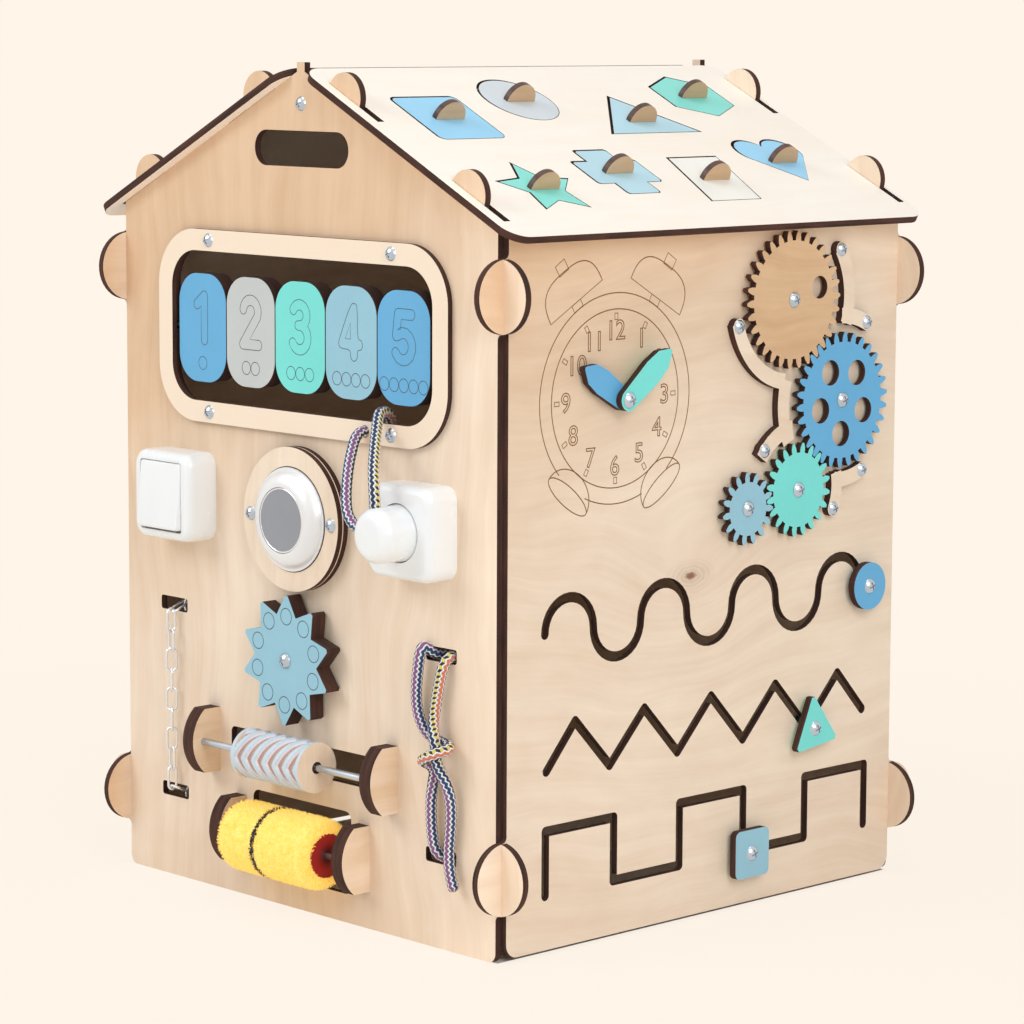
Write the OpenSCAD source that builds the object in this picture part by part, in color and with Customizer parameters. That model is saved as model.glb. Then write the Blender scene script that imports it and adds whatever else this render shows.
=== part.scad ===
// Activity house: a plywood busy-board house with gears, a clock, sliding knobs, a number window,
// a switch, a push light, a plug on a cord, a star, a chain, a spool, a fluffy roller and a roof puzzle.
// Millimetres. The front gable faces -Y, the gear wall faces +X, Z is up and the table is Z = 0.

/* [House] */
// Width between the outer faces of the two side walls
house_w = 400; // [394:1:412]
// Depth between the outer faces of the two gables
house_d = 394; // [388:1:404]
// Height of the gable apex above the table
apex_z = 583.4; // [570:0.1:600]
// Roof pitch in degrees
roof_pitch = 26.5; // [25:0.1:28]
// Thickness of wall and roof boards
ply = 5; // [4:0.1:6]
// Radius of the interlocking half-round corner ears
ear_r = 24.5; // [20:0.5:28]
// Height of the upper row of ears
ear_hi = 440; // [430:1:445]
// Height of the lower row of ears
ear_lo = 57; // [50:1:65]
// Roof overhang past the front gable
over_front = 9; // [6:0.5:14]
// Roof overhang past the back gable
over_back = 4; // [3:0.5:14]
// Slope distance from the apex line to the upper roof edge
roof_top = 9; // [6:0.5:12]
// Slope distance from the apex line to the eave
roof_low = 243; // [240:1:255]

/* [Number window] */
// Outer width of the window frame
frame_w = 304; // [298:1:316]
// Outer height of the window frame
frame_h = 136; // [128:1:145]
// Width of the frame bar
frame_bar = 15; // [13:0.5:18]
// Thickness of the frame board
frame_t = 4; // [3:0.1:6]
// Height of the window centre
window_z = 402.5; // [400:0.5:406]
// Clearance at each end of the row of number tiles
tile_side = 6.5; // [4:0.5:12]
// Play between two number tiles
tile_play = 1; // [0.5:0.1:2]
// Height of one number tile
tile_h = 76.5; // [66:0.5:80]
// Corner rounding of a number tile
tile_round = 20; // [14:0.5:24]
// Thickness of one number tile
tile_t = 12; // [9:0.5:13]
// Diameter of the steel rod that carries the tiles
tile_rod = 6; // [5:0.1:7]

/* [Electrical toys] */
// Outer size of the switch and socket boxes
box_w = 63; // [58:0.5:66]
// Depth of the switch and socket boxes
box_h = 25; // [22:0.5:30]
// Distance of both boxes from the middle of the gable
box_x = 125.5; // [118:0.5:130]
// Height of both box centres
box_z = 281.5; // [276:0.5:288]
// Diameter of the plug body
plug_d = 38; // [34:0.5:39]
// Outer diameter of the push light rings
light_d = 100; // [94:0.5:104]
// Diameter of the light button
button_d = 44.8; // [40:0.2:46]
// Travel of the light button
button_travel = 3; // [2:0.1:4]

/* [Spinner and rollers] */
// Tip diameter of the star
star_d = 91; // [80:0.5:94]
// Thickness of the star
star_t = 12; // [8:0.5:14]
// Outer diameter of the striped spool
spool_d = 35; // [28:0.5:36]
// Length of the striped spool
spool_len = 72; // [50:1:80]
// Outer diameter of the fluffy roller
fluff_d = 52; // [40:0.5:54]
// Length of the fluffy roller
fluff_len = 97; // [70:1:100]
// Diameter of both axle rods
axle_d = 5; // [4:0.1:6]
// Distance of both axles from the gable face
axle_out = 15.5; // [14:0.1:17]

/* [Gears and clock] */
// Gear module
gear_m = 3; // [2.8:0.05:3.05]
// Thickness of the gears
gear_t = 5; // [4:0.1:6]
// Tooth thinning that leaves the running play
gear_play = 0.36; // [0.34:0.01:0.5]
// Thickness of the clock hands
hand_t = 5; // [3:0.1:5]
// Length of the hour hand
hour_len = 43; // [34:0.5:46]
// Length of the minute hand
minute_len = 51; // [46:0.5:58]
// Diameter of the pivot bolts
bolt_d = 5; // [4:0.1:5.5]

/* [Slots and sliders] */
// Width of the three winding slots
slot_w = 7; // [6.6:0.1:8]
// Size of the slider knobs
knob_w = 34; // [28:0.5:35]
// Thickness of the slider knobs
knob_t = 5.5; // [4:0.1:7]

/* [Roof puzzle] */
// Play around each puzzle piece
puzzle_gap = 1.2; // [0.8:0.1:1.5]
// Radius of the half-round grips
grip_r = 13; // [10:0.5:15]
// Thickness of the half-round grips
grip_t = 4.5; // [3:0.1:6]

/* [Cords and chain] */
// Thickness of the lacing and plug cords
cord_d = 7; // [6:0.1:7.2]
// Wire thickness of the chain
chain_wire = 1.9; // [1.6:0.1:2.1]

/* [Hidden] */
$fn = 48;
eps = 0.01;
fit = 0.05;
air = 0.35;
sx = house_w / 2;
ga = sx - ply;
sb = house_d / 2 - ply;
plug_in = 11.5;
plug_out = 25.5;
ear_out = 1.5 + ear_r;
// The origin lies midway between the front of the plug and the back ears
mid_y = (house_d / 2 + box_h + plug_out - sb - ear_out) / 2;
fy = mid_y - house_d / 2;
roof_front = house_d / 2 + over_front;
roof_back = house_d / 2 + over_back;
slope = tan(roof_pitch);
eave_z = apex_z - ga * slope;
side_top = apex_z - sx * slope - 0.4;
side_foot = 3;
tab_r = 17;
tab_d = [48, 184];
slot_more = 21.5;
bar_z = apex_z - 23.4;
bar_w = 22;
hand_z = apex_z - 54;
rod_y = fy + 4.6;
rod_z = window_z - 1.6;
panel_win_w = frame_w - 2 * frame_bar + 3;
panel_win_h = frame_h - 2 * frame_bar + 3;
tile_w = (panel_win_w - 2 * tile_side - 4 * tile_play) / 5;
tile_pitch = tile_w + tile_play;
frame_screw_x = frame_w / 2 - 56;
cord_hole = [70, window_z - frame_h / 2 + 8];
rocker_tilt = 5.5;
light_c = [-2, 276];
board_hole = 60;
bezel_hole = 72;
ring_t = 4.5;
star_c = [-2, 178];
star_gap = 2;
spool_z = 108.5;
fluff_z = 49;
spool_c = -3;
fluff_c = -2.5;
bracket_r = 23;
bracket_lip = 9.5;
bracket_curve = 30;
rod_short = 2;
bracket_t = 11.5;
bracket_c = -1.5;
spool_in = 89;
fluff_in = 60;
fluff_round = 4;
core_d = 31;
bezel_in = 22;
bezel_out = 36;
bezel_foot = 5.5;
bezel_c = [22.9, 5.4];
bezel_round = 12.4;
clock_c = [-93.5, 367.5];
gear_n = [30, 30, 20, 15];
gear_r = [for (n = gear_n) n * gear_m / 2];
blue_c = [126.8, 351.8];
wood_dir = 125.42;
green_dir = 233.13;
small_dir = 189.74;
wood_c = blue_c + (gear_r[0] + gear_r[1]) * [cos(wood_dir), sin(wood_dir)];
green_c = blue_c + (gear_r[1] + gear_r[2]) * [cos(green_dir), sin(green_dir)];
small_c = green_c + (gear_r[2] + gear_r[3]) * [cos(small_dir), sin(small_dir)];
// A pair meshes when one gear has a tooth on the centre line and the other has a gap there
function mesh_phase(na, pa, dir, nb) = (180 - na * (pa - dir)) / nb + dir + 180;
wood_phase = 1.25;
blue_phase = mesh_phase(gear_n[0], wood_phase, wood_dir + 180, gear_n[1]);
green_phase = mesh_phase(gear_n[1], blue_phase, green_dir, gear_n[2]);
small_phase = mesh_phase(gear_n[2], green_phase, small_dir, gear_n[3]);
gear_gap = 2;
wave_r = 22.5;
wave_z = 216;
wave_n = 7;
wave_y0 = -135.5;
zig_lo = 120;
zig_hi = 154.5;
zig_step = 32.9;
zig_y0 = -129.5;
zig_mid = [for (i = [0 : 8]) [zig_y0 + zig_step * i, i % 2 == 0 ? zig_hi : zig_lo]];
zig_pts = concat([[-156, 124]], zig_mid, [[161, 125]]);
sq_lo = 40;
sq_hi = 83.5;
sq_y0 = -156.5;
sq_step = 64.2;
sq_pts = [for (i = [0 : 5]) for (k = [0 : 1]) [sq_y0 + sq_step * i, (i + k) % 2 == 0 ? sq_lo : sq_hi]];
knob_gap = 4;
round_pos = [wave_y0 + 2 * wave_r * 6 + wave_r, wave_z];
tri_pos = [zig_y0 + zig_step * 7, zig_lo];
square_pos = [sq_y0 + sq_step * 3, sq_lo];
base_t = 4;
base_top = 20;
base_low = ga / cos(roof_pitch) - 4.9;
base_half = sb - 9;
chain_x = -137.5;
chain_out = 6.7;
chain_mid = 131.25;
chain_past = 4.55;
link_pitch = 14.4;
link_in = link_pitch + 0.3;
link_w = 9;
lace_x = 142;
lace_hi = 199.5;
lace_lo = 63;
slot_len = 30;
slot_h = 10;

// Placement helpers: flat outlines drawn on the front, the gear wall and the roof
module on_front(out = 0) {
  translate([0, fy - out, 0])
    rotate([90, 0, 0])
      children();
}

module on_right(out = 0) {
  translate([sx + out, mid_y, 0])
    rotate([90, 0, 90])
      children();
}

module on_roof() {
  translate([0, mid_y, apex_z])
    rotate([0, roof_pitch, 0])
      children();
}

// Flat outlines with true arcs
module rrect(w, h, r) {
  square([w - 2 * r, h], center = true);
  square([w, h - 2 * r], center = true);
  for (i = [-1, 1])
    for (k = [-1, 1])
      translate([i * (w / 2 - r), k * (h / 2 - r)])
        circle(r);
}

module nook(r) {
  difference() {
    translate([-eps, -eps])
      square(r + eps);
    translate([r, r])
      circle(r);
  }
}

// Outline of a winding slot: mitred on the inside of each turn, rounded on its outside and at both ends
function way(a, b) = (b - a) / norm(b - a);
function left_of(d) = [-d[1], d[0]];
function arc_between(p, n1, n2, r) =
  let (a1 = atan2(n1[1], n1[0]), da = (atan2(n2[1], n2[0]) - a1 + 900) % 360 - 180)
  [for (k = [0 : 6]) p + r * [cos(a1 + da * k / 6), sin(a1 + da * k / 6)]];
function side_at(pts, i, s, r) =
  let (e = len(pts) - 1, d1 = way(pts[max(i - 1, 0)], pts[max(i, 1)]),
    d2 = way(pts[min(i, e - 1)], pts[min(i + 1, e)]), n1 = s * left_of(d1), n2 = s * left_of(d2),
    turn = s * (d1[0] * d2[1] - d1[1] * d2[0]))
  turn > -0.4 ? [pts[i] + r * (n1 + n2) / (1 + n1 * n2)] : arc_between(pts[i], n1, n2, r);
function cap_at(p, a, r) = [for (k = [1 : 7]) p + r * [cos(a - 22.5 * k), sin(a - 22.5 * k)]];
function heading_at(pts, i) = let (d = way(pts[i], pts[i + 1])) atan2(d[1], d[0]);

module slot_path(pts, w) {
  e = len(pts) - 1;
  polygon(concat(
    [for (i = [0 : e]) each side_at(pts, i, 1, w / 2)],
    cap_at(pts[e], heading_at(pts, e - 1) + 90, w / 2),
    [for (i = [e : -1 : 0]) let (v = side_at(pts, i, -1, w / 2)) for (k = [len(v) - 1 : -1 : 0]) v[k]],
    cap_at(pts[0], heading_at(pts, 0) - 90, w / 2)));
}

module ring_sector(r1, r2, a1, a2) {
  big = r2 * 2;
  am = (a1 + a2) / 2;
  intersection() {
    difference() {
      circle(r2);
      circle(r1);
    }
    polygon([[0, 0], big * [cos(a1), sin(a1)], big * [cos(am), sin(am)], big * [cos(a2), sin(a2)]]);
  }
}

// Tooth outline of a spur gear with involute flanks
function inv(a) = tan(a) * 180 / PI - a;
function tooth_half(n, r) = 90 / n - gear_play / 2 / (n * gear_m / 2) * 180 / PI + inv(20)
  - inv(acos(min(1, n * gear_m / 2 * cos(20) / r)));
function gear_pts(n, ph) =
  let (rp = n * gear_m / 2, rb = rp * cos(20), ra = rp + gear_m, rr = rp - 1.25 * gear_m,
    r0 = max(rb, rr), rs = [for (i = [0 : 4]) r0 + (ra - r0) * i / 4])
  [for (k = [0 : n - 1]) let (c = ph + k * 360 / n)
    each concat(
      [rr * [cos(c - tooth_half(n, r0)), sin(c - tooth_half(n, r0))]],
      [for (r = rs) r * [cos(c - tooth_half(n, r)), sin(c - tooth_half(n, r))]],
      [for (i = [0 : 4]) let (r = rs[4 - i]) r * [cos(c + tooth_half(n, r)), sin(c + tooth_half(n, r))]],
      [rr * [cos(c + tooth_half(n, r0)), sin(c + tooth_half(n, r0))]])];

// Fasteners
module cross_cut(w) {
  for (a = [20, 110])
    rotate(a)
      translate([0, 0, 1.9])
        cube([w * 0.55, 1.1, 3], center = true);
}

module pan_head(d, h) {
  difference() {
    rotate_extrude()
      intersection() {
        translate([0, h - d * d / 8 / h - h / 2])
          circle(d * d / 8 / h + h / 2);
        square([d, h]);
      }
    translate([0, 0, h - 2])
      cross_cut(d);
  }
}

module screw(d, shank, reach) {
  pan_head(d, 3);
  translate([0, 0, -reach])
    cylinder(d = shank, h = reach + 0.5);
}

module bolt(out) {
  translate([0, 0, out])
    pan_head(11, 3.2);
  translate([0, 0, -ply - 5])
    cylinder(d = bolt_d, h = ply + 5 + out + 0.5);
  translate([0, 0, -ply - 4.2])
    cylinder(d = bolt_d + 4.6, h = 4.2, $fn = 6);
}

// Walls
module gable(front) {
  difference() {
    union() {
      polygon([[-ga, 0], [ga, 0], [ga, eave_z], [0, apex_z], [-ga, eave_z]]);
      for (i = [-1, 1])
        for (z = [ear_lo, ear_hi]) {
          translate([i * (ga + ear_out - ear_r), z])
            circle(ear_r);
          translate([i * ga, z - ear_r + 0.1])
            scale([i, -1])
              nook(4);
        }
      for (i = [0, 1])
        mirror([i, 0])
          translate([0, apex_z])
            rotate(-roof_pitch)
              for (d = tab_d)
                intersection() {
                  translate([d, 3])
                    circle(tab_r);
                  translate([d - 20, -3])
                    square([40, 40]);
                }
      translate([-4, apex_z - 8])
        square([8, 12.5]);
    }
    for (i = [-1, 1]) {
      for (z = [ear_lo, ear_hi])
        translate([i * (ga + ply / 2), z + 20])
          square([ply, 40], center = true);
      translate([i * ga, 0])
        scale([-i, 1])
          nook(7);
    }
    translate([0, hand_z])
      rrect(98, 24.4, 12);
    translate([0, bar_z])
      circle(1.75);
    if (front)
      front_holes();
  }
}

module front_holes() {
  translate([0, window_z])
    rrect(panel_win_w, panel_win_h, 25);
  translate([0, rod_z])
    square([panel_win_w + 16, tile_rod + 0.1], center = true);
  translate(cord_hole)
    circle(cord_d / 2 + 0.7);
  for (z = [lace_hi, lace_lo])
    translate([lace_x, z])
      rrect(slot_len, slot_h, 2);
  for (i = [-1, 1])
    translate([-lace_x, chain_mid + i * (end_z + chain_past)])
      rrect(slot_len, slot_h, 2);
  translate([bracket_c, spool_z])
    rrect(153, 22.5, 4);
  translate([bracket_c, fluff_z])
    rrect(105, 58, 6);
  translate(star_c)
    circle(bolt_d / 2);
  for (i = [-1, 1]) {
    translate([light_c[0] + i * 42.5, light_c[1]])
      circle(1.75);
    for (z = [-1, 1])
      translate([i * frame_screw_x, window_z + z * (frame_h - frame_bar) / 2])
        circle(1.75);
  }
}

module front_panel() {
  color("BurlyWood")
    on_front(-ply)
      linear_extrude(ply)
        gable(true);
}

module back_panel() {
  color("BurlyWood")
    translate([0, mid_y + house_d / 2, 0])
      rotate([90, 0, 0])
        linear_extrude(ply)
          gable(false);
}

module side() {
  difference() {
    union() {
      translate([-sb, side_foot])
        square([2 * sb, side_top - side_foot]);
      for (i = [-1, 1])
        for (z = [ear_lo, ear_hi]) {
          translate([i * (sb + ear_out - ear_r), z])
            circle(ear_r);
          translate([i * sb, z + ear_r - 0.1])
            scale([i, 1])
              nook(4);
        }
    }
    for (i = [-1, 1]) {
      for (z = [ear_lo, ear_hi])
        translate([i * (sb + ply / 2), z - 20])
          square([ply, 40], center = true);
      translate([i * sb, side_foot])
        scale([-i, 1])
          nook(10);
    }
  }
}

// Middle line of the wave slot: half circles above and below by turns
wave_steps = 16;
wave_pts = concat(
  [for (k = [0 : wave_n - 1]) for (i = [0 : wave_steps - 1])
    let (a = 180 - (k % 2 == 0 ? 180 : -180) * i / wave_steps)
    [wave_y0 + 2 * wave_r * k, wave_z] + wave_r * [cos(a), sin(a)]],
  [round_pos]);

guard_screws = [[20.6, 409.2], [48, 321.6], [125.4, 458], [153.6, 405.2], [150.4, 300.2], [120.4, 275]];

module right_panel() {
  color("BurlyWood")
    on_right(-ply)
      linear_extrude(ply)
        difference() {
          side();
          slot_path(wave_pts, slot_w);
          slot_path(zig_pts, slot_w);
          slot_path(sq_pts, slot_w);
          for (c = [clock_c, wood_c, blue_c, green_c, small_c])
            translate(c)
              circle(bolt_d / 2);
          for (c = guard_screws)
            translate(c)
              circle(1.75);
        }
}

module left_panel() {
  color("BurlyWood")
    on_right(-house_w)
      linear_extrude(ply)
        side();
}

// Roof
module roof_board() {
  w = roof_low - roof_top;
  l = roof_front + roof_back;
  difference() {
    translate([roof_top + w / 2, (roof_back - roof_front) / 2])
      rrect(w, l, 16);
    for (i = [-1, 1])
      for (d = tab_d)
        translate([d - tab_r - 0.4, i * (house_d / 2 - ply / 2) - ply / 2 - 0.4])
          square([2 * tab_r + slot_more, ply + 0.8]);
  }
}

module right_roof() {
  color("BurlyWood")
    on_roof()
      linear_extrude(ply)
        difference() {
          roof_board();
          for (k = [0 : 7])
            puzzle_place(k)
              puzzle_shape(k, puzzle_gap);
        }
}

module left_roof() {
  color("BurlyWood")
    mirror([1, 0, 0])
      on_roof()
        linear_extrude(ply)
          roof_board();
}

module puzzle_base() {
  color("Tan")
    on_roof()
      translate([base_top, -base_half, -base_t])
        cube([base_low - base_top, 2 * base_half, base_t]);
}

module ridge_bar() {
  color("Tan")
    difference() {
      translate([-bar_w / 2, mid_y - sb, bar_z - bar_w / 2])
        cube([bar_w, 2 * sb, bar_w]);
      for (i = [-1, 1])
        translate([0, mid_y + i * sb, bar_z])
          rotate([90, 0, 0])
            cylinder(r = 1.75, h = 36, center = true);
    }
}

// Roof puzzle pieces: position along the ridge and down the slope
puzzle_pos = [[-131.5, 82], [-45.5, 58.5], [45.5, 92], [130.5, 57.5],
  [-128, 181], [-42.5, 163.3], [40.5, 177.5], [130.5, 157]];

module puzzle_place(k) {
  translate([puzzle_pos[k][1], puzzle_pos[k][0]])
    rotate(90)
      children();
}

// Outlines seen from above the roof with the ridge at the top
module puzzle_shape(k, g) {
  if (k == 0)
    rrect(59 + 2 * g, 59 + 2 * g, 5 + g);
  else if (k == 1)
    circle(29.3 + g);
  else if (k == 2)
    scale(1 + g / 17)
      polygon([[-43, -18], [43, -18], [0, 35]]);
  else if (k == 3)
    scale(1 + g / 28)
      polygon([for (i = [0 : 5]) [30 * cos(60 * i + 30) / cos(30), 30 * sin(60 * i + 30)]]);
  else if (k == 4)
    scale(1 + g / 14.5)
      polygon([for (i = [0 : 9]) (i % 2 == 0 ? 33 : 16.5) * [cos(90 + 36 * i), sin(90 + 36 * i)]]);
  else if (k == 5) {
    rrect(30 + 2 * g, 60 + 2 * g, 3);
    rrect(60 + 2 * g, 30 + 2 * g, 3);
  }
  else if (k == 6)
    polygon([[-30 - g * 1.2, -30 - g], [18 + g, -30 - g], [30 + g * 1.2, 30 + g], [-18 - g, 30 + g]]);
  else
    scale(1 + g / 24) {
      translate([-14.3, 14.5])
        circle(16.2);
      translate([14.3, 14.5])
        circle(16.2);
      polygon([[-28.4, 6.7], [0, -28], [28.4, 6.7], [14, 19], [0, 22], [-14, 19]]);
    }
}

// Each piece lies a little down and back in its recess
module puzzle_piece(k) {
  on_roof()
    translate([puzzle_gap * 0.4, puzzle_gap * 0.4, 0]) {
      translate([0, 0, 0.3])
        linear_extrude(ply - 0.3)
          puzzle_place(k)
            puzzle_shape(k, 0);
      translate([puzzle_pos[k][1] + grip_t / 2, puzzle_pos[k][0], ply])
        rotate([90, 0, -90])
          linear_extrude(grip_t)
            intersection() {
              circle(grip_r);
              translate([-grip_r, -0.5])
                square([2 * grip_r, grip_r + 1]);
            }
    }
}

module puzzle_square() {
  color("SkyBlue")
    puzzle_piece(0);
}

module puzzle_circle() {
  color("Gainsboro")
    puzzle_piece(1);
}

module puzzle_triangle() {
  color("LightBlue")
    puzzle_piece(2);
}

module puzzle_hexagon() {
  color("Aquamarine")
    puzzle_piece(3);
}

module puzzle_star() {
  color("Aquamarine")
    puzzle_piece(4);
}

module puzzle_cross() {
  color("LightBlue")
    puzzle_piece(5);
}

module puzzle_lozenge() {
  color("WhiteSmoke")
    puzzle_piece(6);
}

module puzzle_heart() {
  color("SkyBlue")
    puzzle_piece(7);
}

// Number window
module window_frame() {
  color("Wheat")
    on_front()
      linear_extrude(frame_t)
        difference() {
          translate([0, window_z])
            rrect(frame_w, frame_h, 40);
          translate([0, window_z])
            rrect(frame_w - 2 * frame_bar, frame_h - 2 * frame_bar, 26);
          translate(cord_hole)
            circle(cord_d / 2 + 0.7);
          for (i = [-1, 1])
            for (z = [-1, 1])
              translate([i * frame_screw_x, window_z + z * (frame_h - frame_bar) / 2])
                circle(1.75);
        }
}

module number_rod() {
  color("Silver")
    translate([0, rod_y, rod_z])
      rotate([0, 90, 0])
        cylinder(d = tile_rod, h = panel_win_w + 15, center = true);
}

module rod_keepers() {
  color("Tan")
    difference() {
      for (i = [-1, 1])
        translate([i * (panel_win_w / 2 + 8), fy + ply + 5, rod_z])
          cube([14, 10, 30], center = true);
      translate([0, rod_y, rod_z])
        rotate([0, 90, 0])
          cylinder(d = tile_rod, h = 400, center = true);
    }
}

module number_tile(k) {
  translate([(k - 3) * tile_pitch, rod_y, rod_z])
    difference() {
      rotate([90, 0, 0])
        linear_extrude(tile_t, center = true)
          rrect(tile_w, tile_h, tile_round);
      rotate([0, 90, 0])
        cylinder(d = tile_rod + 2 * fit, h = tile_w + 2, center = true);
    }
}

module number_tile_1() {
  color("SteelBlue")
    number_tile(1);
}

module number_tile_2() {
  color("LightGray")
    number_tile(2);
}

module number_tile_3() {
  color("Aquamarine")
    number_tile(3);
}

module number_tile_4() {
  color("LightBlue")
    number_tile(4);
}

module number_tile_5() {
  color("SteelBlue")
    number_tile(5);
}

// Switch, push light, socket and plug
module box_body() {
  h = box_w / 2;
  intersection() {
    linear_extrude(box_h)
      rrect(box_w, box_w, 9);
    rotate([90, 0, 0])
      linear_extrude(box_w * 2, center = true)
        polygon([[-h, -1], [h, -1], [h, box_h - 10], [h - 5, box_h], [5 - h, box_h], [-h, box_h - 10]]);
    rotate([90, 0, 90])
      linear_extrude(box_w * 2, center = true)
        polygon([[-h, -1], [h, -1], [h, box_h - 10], [h - 5, box_h], [5 - h, box_h], [-h, box_h - 10]]);
  }
}

module switch_base() {
  color("White")
    translate([-box_x, fy, box_z])
      rotate([90, 0, 0]) {
        difference() {
          box_body();
          translate([0, 0, box_h - 17])
            linear_extrude(30)
              square([46.4, 50], center = true);
        }
        translate([0, 0, box_h - 7])
          rotate([0, 90, 0])
            cylinder(d = 4, h = 47, center = true);
      }
}

module switch_rocker() {
  color("White")
    translate([-box_x, fy, box_z])
      rotate([90, 0, 0])
        translate([0, 0, box_h - 7])
          rotate([-rocker_tilt, 0, 0])
            difference() {
              intersection() {
                translate([0, 0, -4.5])
                  linear_extrude(14)
                    rrect(45.4, 48, 2);
                rotate([0, 90, 0])
                  cylinder(r = 24.4, h = 60, center = true);
              }
              rotate([0, 90, 0])
                cylinder(d = 4 + 2 * fit, h = 60, center = true);
            }
}

module light_rings() {
  color("Wheat")
    translate([light_c[0], fy, light_c[1]])
      rotate([90, 0, 0])
        difference() {
          union() {
            cylinder(d = light_d, h = ring_t);
            translate([0, 0, ring_t])
              cylinder(d = light_d, h = ring_t);
          }
          translate([0, 0, -1])
            cylinder(d = board_hole, h = 20);
          translate([0, 0, ring_t])
            cylinder(d = bezel_hole, h = 20);
          for (i = [-1, 1])
            translate([i * 42.5, 0, -1])
              cylinder(r = 1.75, h = 20);
        }
}

module light_board() {
  color("White")
    translate([light_c[0], fy, light_c[1]])
      rotate([90, 0, 0])
        cylinder(d = board_hole - 2 * fit, h = 2.5);
}

module light_bezel() {
  color("Silver")
    translate([light_c[0], fy, light_c[1]])
      rotate([90, 0, 0])
        rotate_extrude()
          difference() {
            union() {
              translate([bezel_in, ring_t])
                square([bezel_out - bezel_in, bezel_foot]);
              intersection() {
                translate(bezel_c)
                  circle(bezel_round);
                translate([bezel_in, 9])
                  square([bezel_out - bezel_in - 0.1, 12]);
              }
            }
            translate([0, -1])
              square([button_d / 2 + 0.5, 40]);
          }
}

module light_button() {
  color("SlateGray")
    translate([light_c[0], fy, light_c[1]])
      rotate([90, 0, 0])
        rotate_extrude()
          union() {
            translate([0, 7])
              square([button_d / 2, 9.5]);
            translate([0, 7])
              square([button_d / 2 - 1, 10.5]);
          }
}

module socket_base() {
  color("White")
    translate([box_x, fy, box_z])
      rotate([90, 0, 0])
        difference() {
          box_body();
          translate([0, 0, box_h - plug_in - 0.5])
            cylinder(d = plug_d + 1.6, h = 30);
          for (i = [-1, 1])
            translate([i * 9.5, 0, 1])
              cylinder(d = 5, h = 30);
        }
}

module plug_body() {
  color("White")
    translate([box_x, fy, box_z])
      rotate([90, 0, 0])
        difference() {
          rotate_extrude() {
            translate([0, box_h - plug_in])
              square([plug_d / 2, plug_in + plug_out - 8]);
            translate([0, box_h - plug_in])
              square([plug_d / 2 - 8, plug_in + plug_out]);
            intersection() {
              translate([plug_d / 2 - 8, box_h + plug_out - 8])
                circle(8);
              translate([0, box_h + plug_out - 10])
                square([plug_d, 20]);
            }
          }
          translate([-3, 8, box_h + plug_out - 9.5])
            rotate([-90, 0, 0])
              cylinder(d = cord_d + 0.8, h = 40);
          translate([-8, 3, box_h + plug_out - 9.5])
            rotate([0, -90, 0])
              cylinder(d = cord_d + 0.8, h = 40);
        }
}

module plug_pins() {
  color("Silver")
    translate([box_x, fy, box_z])
      rotate([90, 0, 0])
        for (i = [-1, 1])
          translate([i * 9.5, 0, 2])
            cylinder(d = 4, h = box_h - plug_in - 2);
}

// Swept cords: round-number route points, each [x, distance out of the gable, z]
plug_route = [[122.5, 41, 290], [122.5, 41, 296], [122.5, 41.5, 304], [120.5, 40.5, 313], [115, 36, 323],
  [107, 28, 334], [98, 18.5, 345], [92, 12, 352], [88.5, 7.5, 355.8], [86.5, 3, 356.8], [85, -2, 356.3],
  [83.5, -7, 353], [80, -10.6, 348], [75, -11.6, 344], [71, -9, 342.5], [70, -4, 342.5], [70, 2, 342.5],
  [70, 8, 342], [71.5, 14, 338], [75, 20, 331], [80, 27, 322], [85, 33, 312], [90, 38, 302],
  [95, 41, 293], [100.5, 41, 286.5], [106.5, 41, 284.5], [112, 41, 284.5]];
lace_left = [[136, -16, 198], [136, -10, 198.5], [136, -4, 199], [136, 2, 201.2], [135.5, 6.2, 204.6],
  [134.8, 10, 206], [133.4, 13.2, 204.3], [131.8, 14, 199.5], [129.6, 12.5, 193], [126.5, 9.5, 183],
  [125, 7.5, 173], [125, 6.3, 164], [127, 6, 156.5], [131, 5.5, 149.5], [137, 4.6, 144.5],
  [144, 3.9, 142], [151, 4, 141.2], [156.8, 7.2, 140.5], [159.3, 12, 139.5], [157.2, 17.6, 138],
  [150.8, 20.6, 135], [144, 18.4, 131.5], [140.5, 13.5, 129], [140, 8.5, 126.5], [141, 5.5, 121.5],
  [140, 5.6, 113], [139.2, 6.3, 102], [139.2, 6.3, 90], [140, 6, 79], [142, 5.5, 70],
  [144.5, 2.5, 65], [146, -3, 63], [146.5, -9, 62.5], [146.5, -15, 62.5]];
lace_right = [[150.5, -15, 199.5], [150.5, -9, 199.5], [150.5, -3, 199.3], [150.3, 2.5, 197.5],
  [149.5, 5.8, 192], [147.5, 6.5, 183], [144.8, 6.5, 172], [143.6, 7.5, 161], [144.6, 9.5, 152.5],
  [148, 11.7, 145], [150, 12.1, 138], [150.2, 12, 131], [151.6, 10.5, 124.5], [155, 8.4, 117],
  [157.8, 7, 108], [158.4, 6.2, 97], [157.4, 5.8, 85], [156, 5.6, 73], [156.2, 5.8, 62], [159, 6.4, 52],
  [163, 7, 44]];
function at_front(r) = [for (p = r) [p[0], fy - p[1], p[2]]];
function unit(v) = v / norm(v);
function heading(r, i) = unit(r[min(i + 1, len(r) - 1)] - r[max(i - 1, 0)]);
function side_dirs(r, i = 0, u = undef) =
  let (t = heading(r, i), s = u == undef ? (abs(t[2]) < 0.9 ? [0, 0, 1] : [1, 0, 0]) : u,
    v = unit(s - (s * t) * t))
  i == len(r) - 1 ? [v] : concat([v], side_dirs(r, i + 1, v));
cord_sides = 10;

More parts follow.
